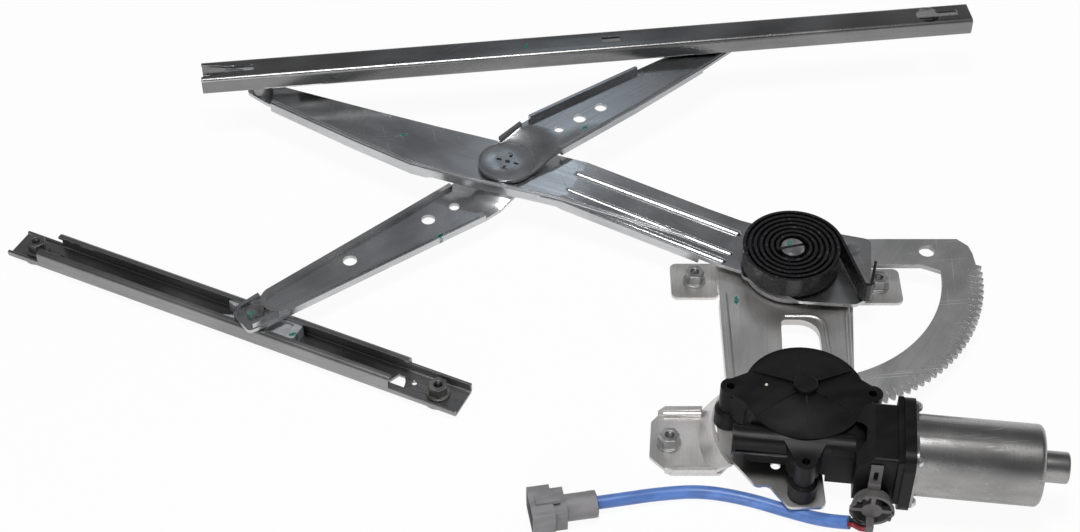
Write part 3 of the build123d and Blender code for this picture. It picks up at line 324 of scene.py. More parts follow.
def plated_steel(name, tone, warm, roughness, marks, turn=0.0, paint=()):
    """Zinc-plated sheet: soft clouds, streaks along the rolling direction, specks and handling marks."""
    recipe = Recipe(name)
    clouds = recipe.grain(0.05, 0.03, turn, 3.0)
    streaks = recipe.grain(0.045, 0.0011, turn)
    specks = recipe.noise(recipe.place(), 1100.0, 2.0, 0.6)
    worn = (recipe.scratches(turn + 0.5) + recipe.scratches(turn - 0.9)).limited()
    plain = recipe.mix(recipe.range(clouds, 0.35, 0.65), grey(tone * 0.84, warm), grey(tone * 1.1, warm))
    drawn = recipe.mix(recipe.range(streaks, 0.5, 0.75, 0.0, 0.35), plain, grey(tone * 0.62, warm))
    dusty = recipe.mix(recipe.range(specks, 0.55, 0.75, 0.0, 0.3), drawn, grey(tone * 0.5, warm))
    marked = recipe.mix(worn * marks, dusty, grey(min(tone * 1.5, 0.95)))
    rough = recipe.range(clouds, 0.3, 0.7, roughness - 0.04, roughness + 0.07) + streaks * 0.06
    recipe.bump(specks * 0.4 + streaks * 0.4 - worn * 0.5, 0.16, 0.0002)
    if not paint:
        return recipe.finish(Base_Color=marked, Roughness=rough, Metallic=1.0)
    dab = recipe.dabs(paint)
    return recipe.finish(Base_Color=recipe.mix(dab, marked, TEAL), Metallic=1.0 - dab,
                         Roughness=rough + dab * 0.25)


def turned_steel(name, tone, roughness, paint=(), warm=0.0):
    """Machined or headed steel with a slightly uneven shine."""
    recipe = Recipe(name)
    clouds = recipe.noise(recipe.place(), 160.0, 3.0, 0.6)
    grain = recipe.noise(recipe.place(), 3000.0, 2.0, 0.5)
    colour = recipe.mix(recipe.range(clouds, 0.3, 0.7), grey(tone * 0.75, warm), grey(tone * 1.15, warm))
    recipe.bump(grain, 0.1, 0.0001)
    rough = recipe.range(clouds, 0.3, 0.7, roughness - 0.05, roughness + 0.08)
    if not paint:
        return recipe.finish(Base_Color=colour, Metallic=1.0, Roughness=rough)
    dab = recipe.dabs(paint)
    return recipe.finish(Base_Color=recipe.mix(dab, colour, TEAL), Metallic=1.0 - dab,
                         Roughness=rough + dab * 0.2)


def moulded_plastic(name, colour, roughness, grain_depth, paint=(), shine=0.5):
    """Moulded plastic with a fine even grain, faint flow marks and rubbed patches."""
    recipe = Recipe(name)
    flow = recipe.grain(0.02, 0.007, 0.3)
    grain = recipe.noise(recipe.place(), 2200.0, 2.0, 0.5)
    rubbed = recipe.noise(recipe.place(), 90.0, 4.0, 0.65)
    lighter = tuple(min(part * 1.3 + 0.001, 1.0) for part in colour[:3]) + (1.0,)
    pale = tuple(min(part * 1.6 + 0.003, 1.0) for part in colour[:3]) + (1.0,)
    tinted = recipe.mix(recipe.range(flow, 0.4, 0.62), colour, lighter)
    tinted = recipe.mix(recipe.range(rubbed, 0.58, 0.72, 0.0, 0.6), tinted, pale)
    rough = recipe.range(flow, 0.3, 0.7, roughness - 0.05, roughness + 0.06) + rubbed * 0.06
    recipe.bump(grain, grain_depth, 0.0002)
    if paint:
        tinted = recipe.mix(recipe.dabs(paint), tinted, TEAL)
    return recipe.finish(Base_Color=tinted, Roughness=rough, Specular_IOR_Level=shine)


def spring_enamel():
    """Black enamel over rolled strip: glossy, a little thin in small scattered patches."""
    recipe = Recipe("spring black enamel")
    wear = recipe.noise(recipe.place(), 420.0, 3.0, 0.6)
    colour = recipe.mix(recipe.range(wear, 0.6, 0.72), (0.007, 0.007, 0.008, 1), (0.06, 0.06, 0.066, 1))
    recipe.bump(wear, 0.12, 0.0002)
    return recipe.finish(Base_Color=colour, Roughness=recipe.range(wear, 0.3, 0.7, 0.22, 0.36),
                         Coat_Weight=0.3, Coat_Roughness=0.15)


def drawn_can_steel():
    """Drawn steel can: fine rings round the motor's axis, soft clouds and small dull spots."""
    recipe = Recipe("drawn can steel")
    turn = math.atan2(MOTOR_AXIS.y, MOTOR_AXIS.x)
    rings = recipe.noise(recipe.place((0.0007, 0.03, 0.03), turn, tuple(MOTOR_ZERO)))
    clouds = recipe.grain(0.03, 0.012, turn, 3.0)
    spots = recipe.noise(recipe.place(), 500.0, 3.0, 0.6)
    worn = recipe.scratches(turn + 0.2)
    colour = recipe.mix(recipe.range(clouds, 0.35, 0.68), grey(0.3, 0.015), grey(0.4, 0.015))
    dull = recipe.mix(recipe.range(spots, 0.56, 0.7, 0.0, 0.4), colour, grey(0.24, 0.02))
    marked = recipe.mix(worn * 0.5, dull, grey(0.75))
    recipe.bump(rings - spots * 0.5, 0.12, 0.0001)
    return recipe.finish(Base_Color=marked, Metallic=1.0,
                         Roughness=recipe.range(clouds, 0.3, 0.7, 0.2, 0.27) + rings * 0.05)


def pale_floor():
    """A pale table: plain to the lamps, nearly white to the camera, less white in reflections."""
    recipe = Recipe("pale table")
    grain = recipe.noise(recipe.place(), 900.0, 2.0, 0.5)
    tone = recipe.range(grain, 0.3, 0.7, 0.9, 0.94)
    recipe.feed(recipe.shader.inputs["Base Color"], tone)
    recipe.feed(recipe.shader.inputs["Roughness"], 0.8)
    camera, sent_on = white_rays(recipe)
    seen = (camera * FLOOR_GLOW + sent_on * FLOOR_REFLECTED).limited()
    glow = recipe.node("ShaderNodeEmission", {}, {"Color": (1, 1, 1, 1), "Strength": 1.0})
    lit = Wire(recipe, recipe.shader.outputs[0])
    both = recipe.node("ShaderNodeMixShader", {}, {0: seen, 1: lit, 2: glow})
    output = recipe.tree.nodes["Material Output"]
    recipe.feed(output.inputs["Surface"], both)
    return recipe.material


def white_rays(tree):
    """One for rays from the camera, and one for rays that metal or glass sends on, else zero."""
    camera, glossy, sent = [tree.node("ShaderNodeLightPath", {}, {}, name)
                            for name in ("Is Camera Ray", "Is Glossy Ray", "Is Transmission Ray")]
    return camera, (glossy + sent).limited()


def material(name):
    """The finished material of that name, made when it is first asked for."""
    makers = {
        "lift arm": lambda: plated_steel("lift arm zinc", 0.62, -0.015, 0.2, 0.4, ALONG_LIFT,
                                         [(-234.2, 102.9, 9, 3, 20)]),
        "upper arm": lambda: plated_steel("upper arm zinc", 0.46, -0.02, 0.2, 0.4, ALONG_EQUALIZER,
                                          [(-120.3, 101.4, 6, 4, 70)]),
        "lower arm": lambda: plated_steel("lower arm zinc", 0.6, -0.015, 0.2, 0.4, ALONG_EQUALIZER,
                                          [(-207.5, 23.1, 6, 4, 60)]),
        "base": lambda: plated_steel("base plate zinc", 0.74, 0.025, 0.34, 0.6, 1.5,
                                     [(-33.1, -23.3, 4, 9, 0)]),
        "glass rail": lambda: plated_steel("glass rail zinc", 0.27, 0.0, 0.24, 0.4, ALONG_GLASS,
                                           [(-156.5, 166.3, 3, 6, 0)]),
        "guide rail": lambda: plated_steel("guide rail zinc", 0.34, 0.0, 0.26, 0.4, ALONG_GUIDE),
        "sector": lambda: plated_steel("sector steel", 0.5, 0.0, 0.42, 0.9, 1.0),
        "nut": lambda: turned_steel("nut zinc", 0.5, 0.34),
        "guide nut": lambda: turned_steel("guide nut dark zinc", 0.22, 0.4,
                                          [(-201.9, -97.6, 8, 3, 40), (-452.7, 17.7, 8, 3, 30)], 0.02),
        "pin": lambda: turned_steel("pin steel", 0.5, 0.28, [(-1.7, 2.1, 7, 4, 60)]),
        "stud": lambda: turned_steel("stud steel", 0.32, 0.35, [(-314.2, -41.1, 6, 4, 60)]),
        "screw": lambda: turned_steel("screw zinc", 0.72, 0.24),
        "magnet": lambda: turned_steel("magnet ferrite", 0.1, 0.6),
        "copper": lambda: moulded_plastic("copper bars", (0.6, 0.26, 0.13, 1), 0.35, 0.05),
        "bronze": lambda: moulded_plastic("sintered bronze", (0.42, 0.27, 0.12, 1), 0.5, 0.3),
        "black": lambda: moulded_plastic("black housing plastic", (0.0042, 0.0038, 0.0043, 1), 0.36, 0.2,
                                         shine=0.22),
        "grey": lambda: moulded_plastic("grey plug plastic", (0.11, 0.105, 0.103, 1), 0.45, 0.15),
        "connector": lambda: moulded_plastic("grey connector plastic", (0.2, 0.195, 0.2, 1), 0.5, 0.15),
        "natural": lambda: moulded_plastic("natural gear plastic", (0.62, 0.58, 0.46, 1), 0.45, 0.1),
        "slider": lambda: moulded_plastic("slider plastic", (0.33, 0.345, 0.36, 1), 0.35, 0.1,
                                          [(-290.0, -50.7, 6, 3, 10)]),
        "blue": lambda: moulded_plastic("blue sleeve", (0.085, 0.18, 0.47, 1), 0.32, 0.1),
        "red wire": lambda: moulded_plastic("red wire jacket", (0.2, 0.012, 0.02, 1), 0.35, 0.1),
        "black wire": lambda: moulded_plastic("black wire jacket", (0.012, 0.012, 0.012, 1), 0.4, 0.1),
        "spring": spring_enamel,
        "can": drawn_can_steel,
        "floor": pale_floor,
    }
    if name not in MATERIALS:
        MATERIALS[name] = makers[name]()
    return MATERIALS[name]


# Making pieces

def linked(name, data):
    """A new object in the scene that holds the data."""
    obj = bpy.data.objects.new(name, data)
    bpy.context.scene.collection.objects.link(obj)
    return obj


def linked_shape(name, shape, smooth):
    """An object from a bmesh, smooth except at edges that are sharper than an angle in degrees."""
    for face in shape.faces:
        face.smooth = True
    for line in shape.edges:
        if len(line.link_faces) == 2:
            line.smooth = line.calc_face_angle(0) < math.radians(smooth)
    mesh = bpy.data.meshes.new(name)
    shape.to_mesh(mesh)
    shape.free()
    return linked(name, mesh)


def solved(obj):
    """A plain mesh of the object as its modifiers leave it."""
    return bpy.data.meshes.new_from_object(obj.evaluated_get(bpy.context.evaluated_depsgraph_get()))


def give(obj, finish):
    obj.data.materials.clear()
    obj.data.materials.append(material(finish))
    return obj


def body_of(node):
    return frame["nodes"][node]["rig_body"]


def dressed(node, name, finish, edge=0.3, smooth=32.0, cutter=None):
    """A copy of a node's own mesh with its facets merged, its corners rounded and its curves smooth."""
    shape = bmesh.new()
    shape.from_mesh(frame["nodes"][node].data)
    bmesh.ops.remove_doubles(shape, verts=shape.verts, dist=WELD)
    bmesh.ops.dissolve_degenerate(shape, edges=shape.edges, dist=TINY)
    if cutter:
        shape = carved(shape, cutter)
    piece = linked_shape(name, shape, smooth)
    if edge:
        rounding = piece.modifiers.new("rounded edges", "BEVEL")
        rounding.width = edge * MM
        rounding.segments = 2
        rounding.limit_method = "ANGLE"
        rounding.angle_limit = math.radians(smooth)
        rounding.harden_normals = True
    give(piece, finish)
    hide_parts(node)
    return piece


def carved(shape, cutter):
    """What is left of a closed shape when another is cut away from it."""
    holders = []
    for part in (shape, cutter):
        mesh = bpy.data.meshes.new("carving")
        part.to_mesh(mesh)
        part.free()
        holders.append(linked("carving", mesh))
    cut = holders[0].modifiers.new("cut", "BOOLEAN")
    cut.operation = "DIFFERENCE"
    cut.solver = "EXACT"
    cut.object = holders[1]
    left = bmesh.new()
    left.from_mesh(solved(holders[0]))
    bmesh.ops.remove_doubles(left, verts=left.verts, dist=WELD)
    for holder in holders:
        bpy.data.objects.remove(holder)
    return left


def new_piece(name, shape, finish, smooth=32.0):
    """A free piece of the finish, from a bmesh in the frame's metres."""
    piece = linked_shape(name, shape, smooth)
    give(piece, finish)
    return piece


def shape_tree(title, inputs):
    """A geometry node tree with named inputs and a finish, and the wires that come from them."""
    group = bpy.data.node_groups.new(title, "GeometryNodeTree")
    for name, kind, default in (*inputs, ("Finish", "Material", None)):
        socket = group.interface.new_socket(name=name, in_out="INPUT", socket_type="NodeSocket" + kind)
        if default is not None:
            socket.default_value = default
    group.interface.new_socket(name="Shape", in_out="OUTPUT", socket_type="NodeSocketGeometry")
    tree = Tree(group)
    given = group.nodes.new("NodeGroupInput")
    return tree, {socket.name: Wire(tree, socket) for socket in given.outputs if socket.name}


def finished_tree(tree, geometry, finish):
    """End a geometry node tree with its material and its output."""
    done = tree.node("GeometryNodeSetMaterial", {}, {"Geometry": geometry, "Material": finish})
    tree.feed(tree.tree.nodes.new("NodeGroupOutput").inputs["Shape"], done)
    return tree.tree


def repeat_tree():
    """Node tree that repeats a small piece round an axis, along it, or both."""
    tree, sizes = shape_tree("repeat round an axis", (
        ("Piece", "Object", None), ("Count", "Int", 6), ("Radius", "Float", 0.01),
        ("Start", "Float", 0.0), ("Step", "Float", 1.0), ("Rise", "Float", 0.0)))
    number = tree.node("GeometryNodeInputIndex", {}, {})
    angle = sizes["Start"] + number * sizes["Step"]
    spot = tree.node("ShaderNodeCombineXYZ", {}, {0: angle.cosine() * sizes["Radius"],
                                                  1: angle.sine() * sizes["Radius"],
                                                  2: number * sizes["Rise"]})
    points = tree.node("GeometryNodePoints", {}, {"Count": sizes["Count"], "Position": spot})
    turn = tree.node("ShaderNodeCombineXYZ", {}, {2: angle})
    piece = tree.node("GeometryNodeObjectInfo", {}, {"Object": sizes["Piece"]}, "Geometry")
    copies = tree.node("GeometryNodeInstanceOnPoints", {},
                       {"Points": points, "Instance": piece, "Rotation": turn})
    real = tree.node("GeometryNodeRealizeInstances", {}, {"Geometry": copies})
    return finished_tree(tree, real, sizes["Finish"])


def ridge_tree():
    """Node tree that lays a rounded ridge along a drawn path, with faded ends."""
    tree, sizes = shape_tree("ridge along a path", (
        ("Path", "Object", None), ("Width", "Float", 0.003), ("Corner", "Float", 0.006)))
    drawn = tree.node("GeometryNodeObjectInfo", {}, {"Object": sizes["Path"]}, "Geometry")
    path = tree.node("GeometryNodeMeshToCurve", {}, {"Mesh": drawn})
    eased = tree.node("GeometryNodeFilletCurve", {"mode": "POLY"},
                      {"Curve": path, "Radius": sizes["Corner"], "Count": 6, "Limit Radius": True})
    even = tree.node("GeometryNodeResampleCurve", {"mode": "LENGTH"},
                     {"Curve": eased, "Length": sizes["Width"] * 0.5})
    reach = tree.node("GeometryNodeSplineParameter", {}, {}, "Length")
    whole = tree.node("GeometryNodeSplineLength", {}, {}, "Length")
    end = reach.maths("MINIMUM", reach, whole - reach)
    share = (end.maths("DIVIDE", end, sizes["Width"] * 1.2) + 0.02).limited()
    shaped = tree.node("GeometryNodeSetCurveRadius", {},
                       {"Curve": even, "Radius": share.maths("SQRT", share)})
    ring = tree.node("GeometryNodeCurvePrimitiveCircle", {},
                     {"Resolution": 12, "Radius": sizes["Width"] * 0.5})
    solid = tree.node("GeometryNodeCurveToMesh", {},
                      {"Curve": shaped, "Profile Curve": ring, "Fill Caps": True})
    return finished_tree(tree, solid, sizes["Finish"])


def node_result(tree, values):
    """The plain mesh that a node tree makes from its named sizes."""
    keys = {item.name: item.identifier for item in tree.interface.items_tree if item.in_out == "INPUT"}
    holder = linked("holder", bpy.data.meshes.new("holder"))
    maker = holder.modifiers.new("maker", "NODES")
    maker.node_group = tree
    for key, value in values.items():
        maker[keys[key]] = value
    mesh = solved(holder)
    holder.modifiers.clear()
    bpy.data.objects.remove(holder)
    return mesh


def ridges(name, paths, width, height, finish, corner=6.0):
    """Rounded ridges on a sheet, each along a path of (x, y) from the pivot at its own height."""
    if "ridge" not in TREES:
        TREES["ridge"] = ridge_tree()
    whole = bmesh.new()
    for points, level in paths:
        drawn = bpy.data.meshes.new("path")
        drawn.from_pydata([from_pivot(x, y, level) for x, y in points],
                          [(index, index + 1) for index in range(len(points) - 1)], [])
        sketch = linked("path", drawn)
        mesh = node_result(TREES["ridge"], {"Path": sketch, "Width": width * MM, "Corner": corner * MM,
                                            "Finish": material(finish)})
        bpy.data.objects.remove(sketch)
        flatten = Matrix.Diagonal((1, 1, 2 * height / width, 1))
        foot = Matrix.Translation((0, 0, level * MM))
        mesh.transform(foot @ flatten @ foot.inverted())
        whole.from_mesh(mesh)
        bpy.data.meshes.remove(mesh)
    bmesh.ops.recalc_face_normals(whole, faces=whole.faces)
    return new_piece(name, whole, finish, 50.0)


def repeated(name, unit, places, finish, smooth=32.0):
    """Repeat a small bmesh by the node tree at each place, and join the results in one plain mesh.

    A place is a matrix and the tree's own sizes there, by name."""
    if "repeat" not in TREES:
        TREES["repeat"] = repeat_tree()
    sample = linked("sample", bpy.data.meshes.new("sample"))
    unit.to_mesh(sample.data)
    unit.free()
    whole = bmesh.new()
    for matrix, sizes in places:
        mesh = node_result(TREES["repeat"], {"Piece": sample, "Finish": material(finish), **sizes})
        mesh.transform(matrix)
        whole.from_mesh(mesh)
        bpy.data.meshes.remove(mesh)
    bpy.data.objects.remove(sample)
    return new_piece(name, whole, finish, smooth)


def revolved(profile, steps):
    """A closed ring or a solid of revolution about Z from (radius, height) points, in millimetres."""
    shape = bmesh.new()
    corners = [shape.verts.new((radius * MM, 0, height * MM)) for radius, height in profile]
    lines = [shape.edges.new((a, b)) for a, b in zip(corners, corners[1:])]
    bmesh.ops.spin(shape, geom=corners + lines, cent=(0, 0, 0), axis=(0, 0, 1), angle=math.tau,
                   steps=steps, use_duplicate=False)
    bmesh.ops.remove_doubles(shape, verts=shape.verts, dist=TINY)
    bmesh.ops.recalc_face_normals(shape, faces=shape.faces)
    return shape


def slab(outline, low, high, taper=1.0):
    """A closed prism between two heights, with its top drawn in by a factor, in millimetres."""
    shape = bmesh.new()
    middle = sum((Vector(point) for point in outline), Vector((0, 0))) / len(outline)
    rings = []
    for height, factor in ((low, 1.0), (high, taper)):
        spots = [middle + (Vector(point) - middle) * factor for point in outline]
        rings.append([shape.verts.new((spot.x * MM, spot.y * MM, height * MM)) for spot in spots])
    count = len(outline)
    for index in range(count):
        after = (index + 1) % count
        shape.faces.new((rings[0][index], rings[0][after], rings[1][after], rings[1][index]))
    shape.faces.new(rings[1])
    shape.faces.new(rings[0][::-1])
    bmesh.ops.recalc_face_normals(shape, faces=shape.faces)
    return shape


def motor_matrix(along, across=0.0, up=0.0, about="axis"):
    """Place on the motor in millimetres, with Z along its axis, along its plug socket's, or up."""
    side = Vector((-MOTOR_AXIS.y, MOTOR_AXIS.x, 0))
    spot = MOTOR_ZERO + MOTOR_AXIS * (along * MM) + side * (across * MM) + Vector((0, 0, up * MM))
    columns = {"axis": (side, Vector((0, 0, 1)), MOTOR_AXIS),
               "socket": (MOTOR_AXIS, Vector((0, 0, 1)), -side),
               "flat": (MOTOR_AXIS, side, Vector((0, 0, 1)))}[about]
    return Matrix.Translation(spot) @ Matrix(columns).transposed().to_4x4()


def dress_and_ride(entries):
    """Each entry is a node, its piece's name, its finish and its edge rounding in millimetres."""
    for node, name, finish, edge in entries:
        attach(dressed(node, name, finish, edge), body_of(node))


# What a user would change

class RegulatorLooks(bpy.types.PropertyGroup):
    floor_size: bpy.props.FloatProperty(
        name="Floor size", description="Side of the table top", default=6.0, unit="LENGTH")
    key_power: bpy.props.FloatProperty(
        name="Key light", description="Power of the soft light overhead", default=15.0)
    sheen_power: bpy.props.FloatProperty(
        name="Sheen light", description="Power of the small cool light behind", default=0.13)
    edge: bpy.props.FloatProperty(
        name="Sheet edge", description="Rounding of the pressed edges", default=0.35)
    lens: bpy.props.FloatProperty(
        name="Lens", description="Focal length on a 36 mm sensor", default=66.67)


class STAGE_OT_table(bpy.types.Operator):
    """Lay the table, the soft lights and the camera"""
    bl_idname = "regulator.stage"
    bl_label = "Table, lights and camera"

    def execute(self, context):
        looks = context.scene.regulator_looks
        size = looks.floor_size / 2
        mesh = bpy.data.meshes.new("table")
        corners = [(-size, -size), (size, -size), (size, size), (-size, size)]
        mesh.from_pydata([(x, y, TABLE_TOP) for x, y in corners], [], [(0, 1, 2, 3)])
        floor = give(linked("table", mesh), "floor")
        self.light("overhead", (-0.15, -0.15, 1.6), 0.5, looks.key_power, (1, 1, 1))
        self.light("front fill", (-0.5, -1.5, 0.5), 0.8, looks.key_power * 0.35, (1, 1, 1))
        self.light("sheen", (-0.1, 0.97, 0.86), 0.14, looks.sheen_power, (0.75, 0.88, 1.0))
        self.surround()
        self.camera(context, looks.lens)
        return {"FINISHED"}

    def light(self, name, place, size, power, colour):
        lamp = bpy.data.lights.new(name, "AREA")
        lamp.shape = "DISK"
        lamp.size = size
        lamp.energy = power
        lamp.color = colour
        holder = linked(name, lamp)
        holder.location = PIVOT + Vector(place)
        aim = from_pivot(-120, 0, 0) - holder.location
        holder.rotation_euler = aim.to_track_quat("-Z", "Y").to_euler()

    def surround(self):
        """A dim room that is lighter near the horizon, and white behind the object."""
        world = bpy.data.worlds.new("studio")
        bpy.context.scene.world = world
        world.use_nodes = True
        world.node_tree.nodes.clear()
        tree = Tree(world.node_tree)
        way = tree.node("ShaderNodeTexCoord", {}, {}, "Generated")
        height = tree.node("ShaderNodeSeparateXYZ", {}, {0: way}, "Z")
        room = tree.node("ShaderNodeValToRGB", {"stops": ROOM_STOPS}, {0: height})
        around = tree.node("ShaderNodeBackground", {}, {"Color": room, "Strength": 1.0})
        white = tree.node("ShaderNodeBackground", {}, {"Color": (1, 1, 1, 1), "Strength": 1.0})
        seen = tree.node("ShaderNodeLightPath", {}, {}, "Is Camera Ray")
        both = tree.node("ShaderNodeMixShader", {}, {0: seen, 1: around, 2: white})
        output = world.node_tree.nodes.new("ShaderNodeOutputWorld")
        tree.feed(output.inputs["Surface"], both)

    def camera(self, context, lens):
        data = bpy.data.cameras.new("view")
        data.lens = lens
        data.sensor_width = 36.0
        data.clip_start = 0.01
        data.clip_end = 20.0
        view = linked("view", data)
        view.location = from_pivot(*VIEW_PLACE)
        view.rotation_euler = (math.radians(VIEW_TILT), 0, 0)
        context.scene.camera = view
        context.scene.view_settings.view_transform = "Standard"


class SLEEVE_OT_cord(bpy.types.Operator):
    """Lay the blue sleeve from the plug's wires to the end connector"""
    bl_idname = "regulator.sleeve"
    bl_label = "Blue sleeve"

    def execute(self, context):
        line = bpy.data.curves.new("blue_sleeve", "CURVE")
        line.dimensions = "3D"
        line.bevel_depth = SLEEVE_R * MM
        line.bevel_resolution = 6
        line.use_fill_caps = True
        spline = line.splines.new("NURBS")
        spline.points.add(len(SLEEVE_ROUTE) - 1)
        for point, place in zip(spline.points, SLEEVE_ROUTE):
            point.co = (*from_pivot(*place), 1.0)
        spline.order_u = 3
        spline.use_endpoint_u = True
        spline.resolution_u = 24
        sleeve = give(linked("blue_sleeve", line), "blue")
        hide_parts("loom_sleeve")
        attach(sleeve, "base")
        nodes = frame["nodes"]
        plug = dressed("motor_plug", "plug_with_collar", "grey", 0.25)
        connector = dressed("end_connector", "cable_end_connector", "connector", 0.4)
        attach(plug, "base")
        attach(connector, "base")
        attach(self.collar_teeth(), "base")
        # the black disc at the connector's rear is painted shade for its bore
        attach(self.mouth_shade_disc(), "base")
        tuple(from_pivot(*SLEEVE_ROUTE[0]))
        give(nodes["motor_wire_red"], "red wire")
        give(nodes["motor_wire_black"], "black wire")
        return {"FINISHED"}

    def collar_teeth(self):
        """Small locking teeth round the mouth of the plug's collar."""
        tooth = slab([(-0.9, -1.1), (0.7, -0.9), (0.7, 0.9), (-0.9, 1.1)], -0.6, 1.3, 0.75)
        mouth = motor_matrix(SOCKET[0], COLLAR_MOUTH, SOCKET[1] - MOTOR_ZERO.z / MM, "socket")
        reach = COLLAR_TOOTH_R * MM
        return repeated("plug_collar_teeth", tooth,
                        [(mouth, {"Count": 5, "Radius": reach, "Start": 1.9, "Step": 0.36}),
                         (mouth, {"Count": 3, "Radius": reach, "Start": -0.5, "Step": 0.45})],
                        "grey")

    def mouth_shade_disc(self):
        """A thin black disc at the round rear of the end connector, where the sleeve enters: painted shade that
        stands for the dark inside of its bore.
        """
        turn = Matrix.Rotation(math.radians(CONNECTOR_TURN), 4, "Z") @ Matrix.Rotation(math.pi / 2, 4, "Y")
        painted_shade_disc = revolved([(0, 0.0), (5.9, 0.0), (6.1, -0.25), (5.9, -0.45), (0, -0.45)], 36)
        painted_shade_disc.transform(Matrix.Translation(from_pivot(*CONNECTOR_REAR)) @ turn)
        return new_piece("connector_bore", painted_shade_disc, "black wire")


class PRESSINGS_OT_sheet(bpy.types.Operator):
    """Finish the pressed sheet parts: base plate, arms and rails"""
    bl_idname = "regulator.pressings"
    bl_label = "Pressed sheet parts"

    def execute(self, context):
        edge = context.scene.regulator_looks.edge
        dress_and_ride([
            ("base_plate", "base_plate_pressing", "base", edge),
            ("lift_arm", "lift_arm_pressing", "lift arm", edge),
            ("equalizer_upper_arm", "upper_arm_pressing", "upper arm", edge),
            ("equalizer_lower_arm", "lower_arm_pressing", "lower arm", edge),
            ("glass_rail", "glass_rail_section", "glass rail", edge),
            ("guide_rail", "guide_rail_section", "guide rail", edge),
            ("sector_gear", "sector_blank", "sector", 0.15),
        ])
        near = [along_arm("lift_pivot", ALONG_LIFT, x, y) for x, y in LIFT_HEM]
        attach(ridges("lift_arm_hem_bead", [(near, LIFT_TOP)], 2.4, 1.0, "lift arm",
                       14.0), "lift_arm")
        edge_line = [along_arm("equalizer_pivot", ALONG_EQUALIZER, x, y) for x, y in UPPER_HEM]
        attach(ridges("upper_arm_edge_bead", [(edge_line, UPPER_TOP)], 2.2, 0.7, "upper arm",
                       14.0), "equalizer")
        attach(ridges("base_plate_beads", [(path, BASE_TOP) for path in BASE_BEADS], 3.4, 0.7, "base",
                       9.0), "base")
        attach(ridges("motor_tab_beads", [(path, TAB_TOP) for path in TAB_BEADS], 4.5, 2.0, "base"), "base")
        self.hub_marks()
        return {"FINISHED"}

    def hub_marks(self):
        """The fine edge of the disc that is riveted in the hub's pad, and its two square punch marks."""
        centre = Vector(JOINTS["equalizer_pivot"]["pos_m"])
        seat = Matrix.Translation((centre.x, centre.y, PAD_TOP * MM))
        rim = revolved([(16.2, -0.2), (16.2, 0.0), (16.5, 0.34), (17.0, 0.34), (17.3, 0.0), (17.3, -0.2),
                        (16.2, -0.2)], 72)
        rim.transform(seat)
        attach(new_piece("hub_disc_edge", rim, "stud"), "equalizer")
        mark = slab([(-1.1, -1.1), (1.1, -1.1), (1.1, 1.1), (-1.1, 1.1)], -0.1, 0.25, 0.7)
        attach(repeated("hub_square_marks", mark,
                         [(seat, {"Count": 2, "Radius": HUB_MARK_R * MM, "Start": 1.4, "Step": math.pi})],
                         "stud"), "equalizer")


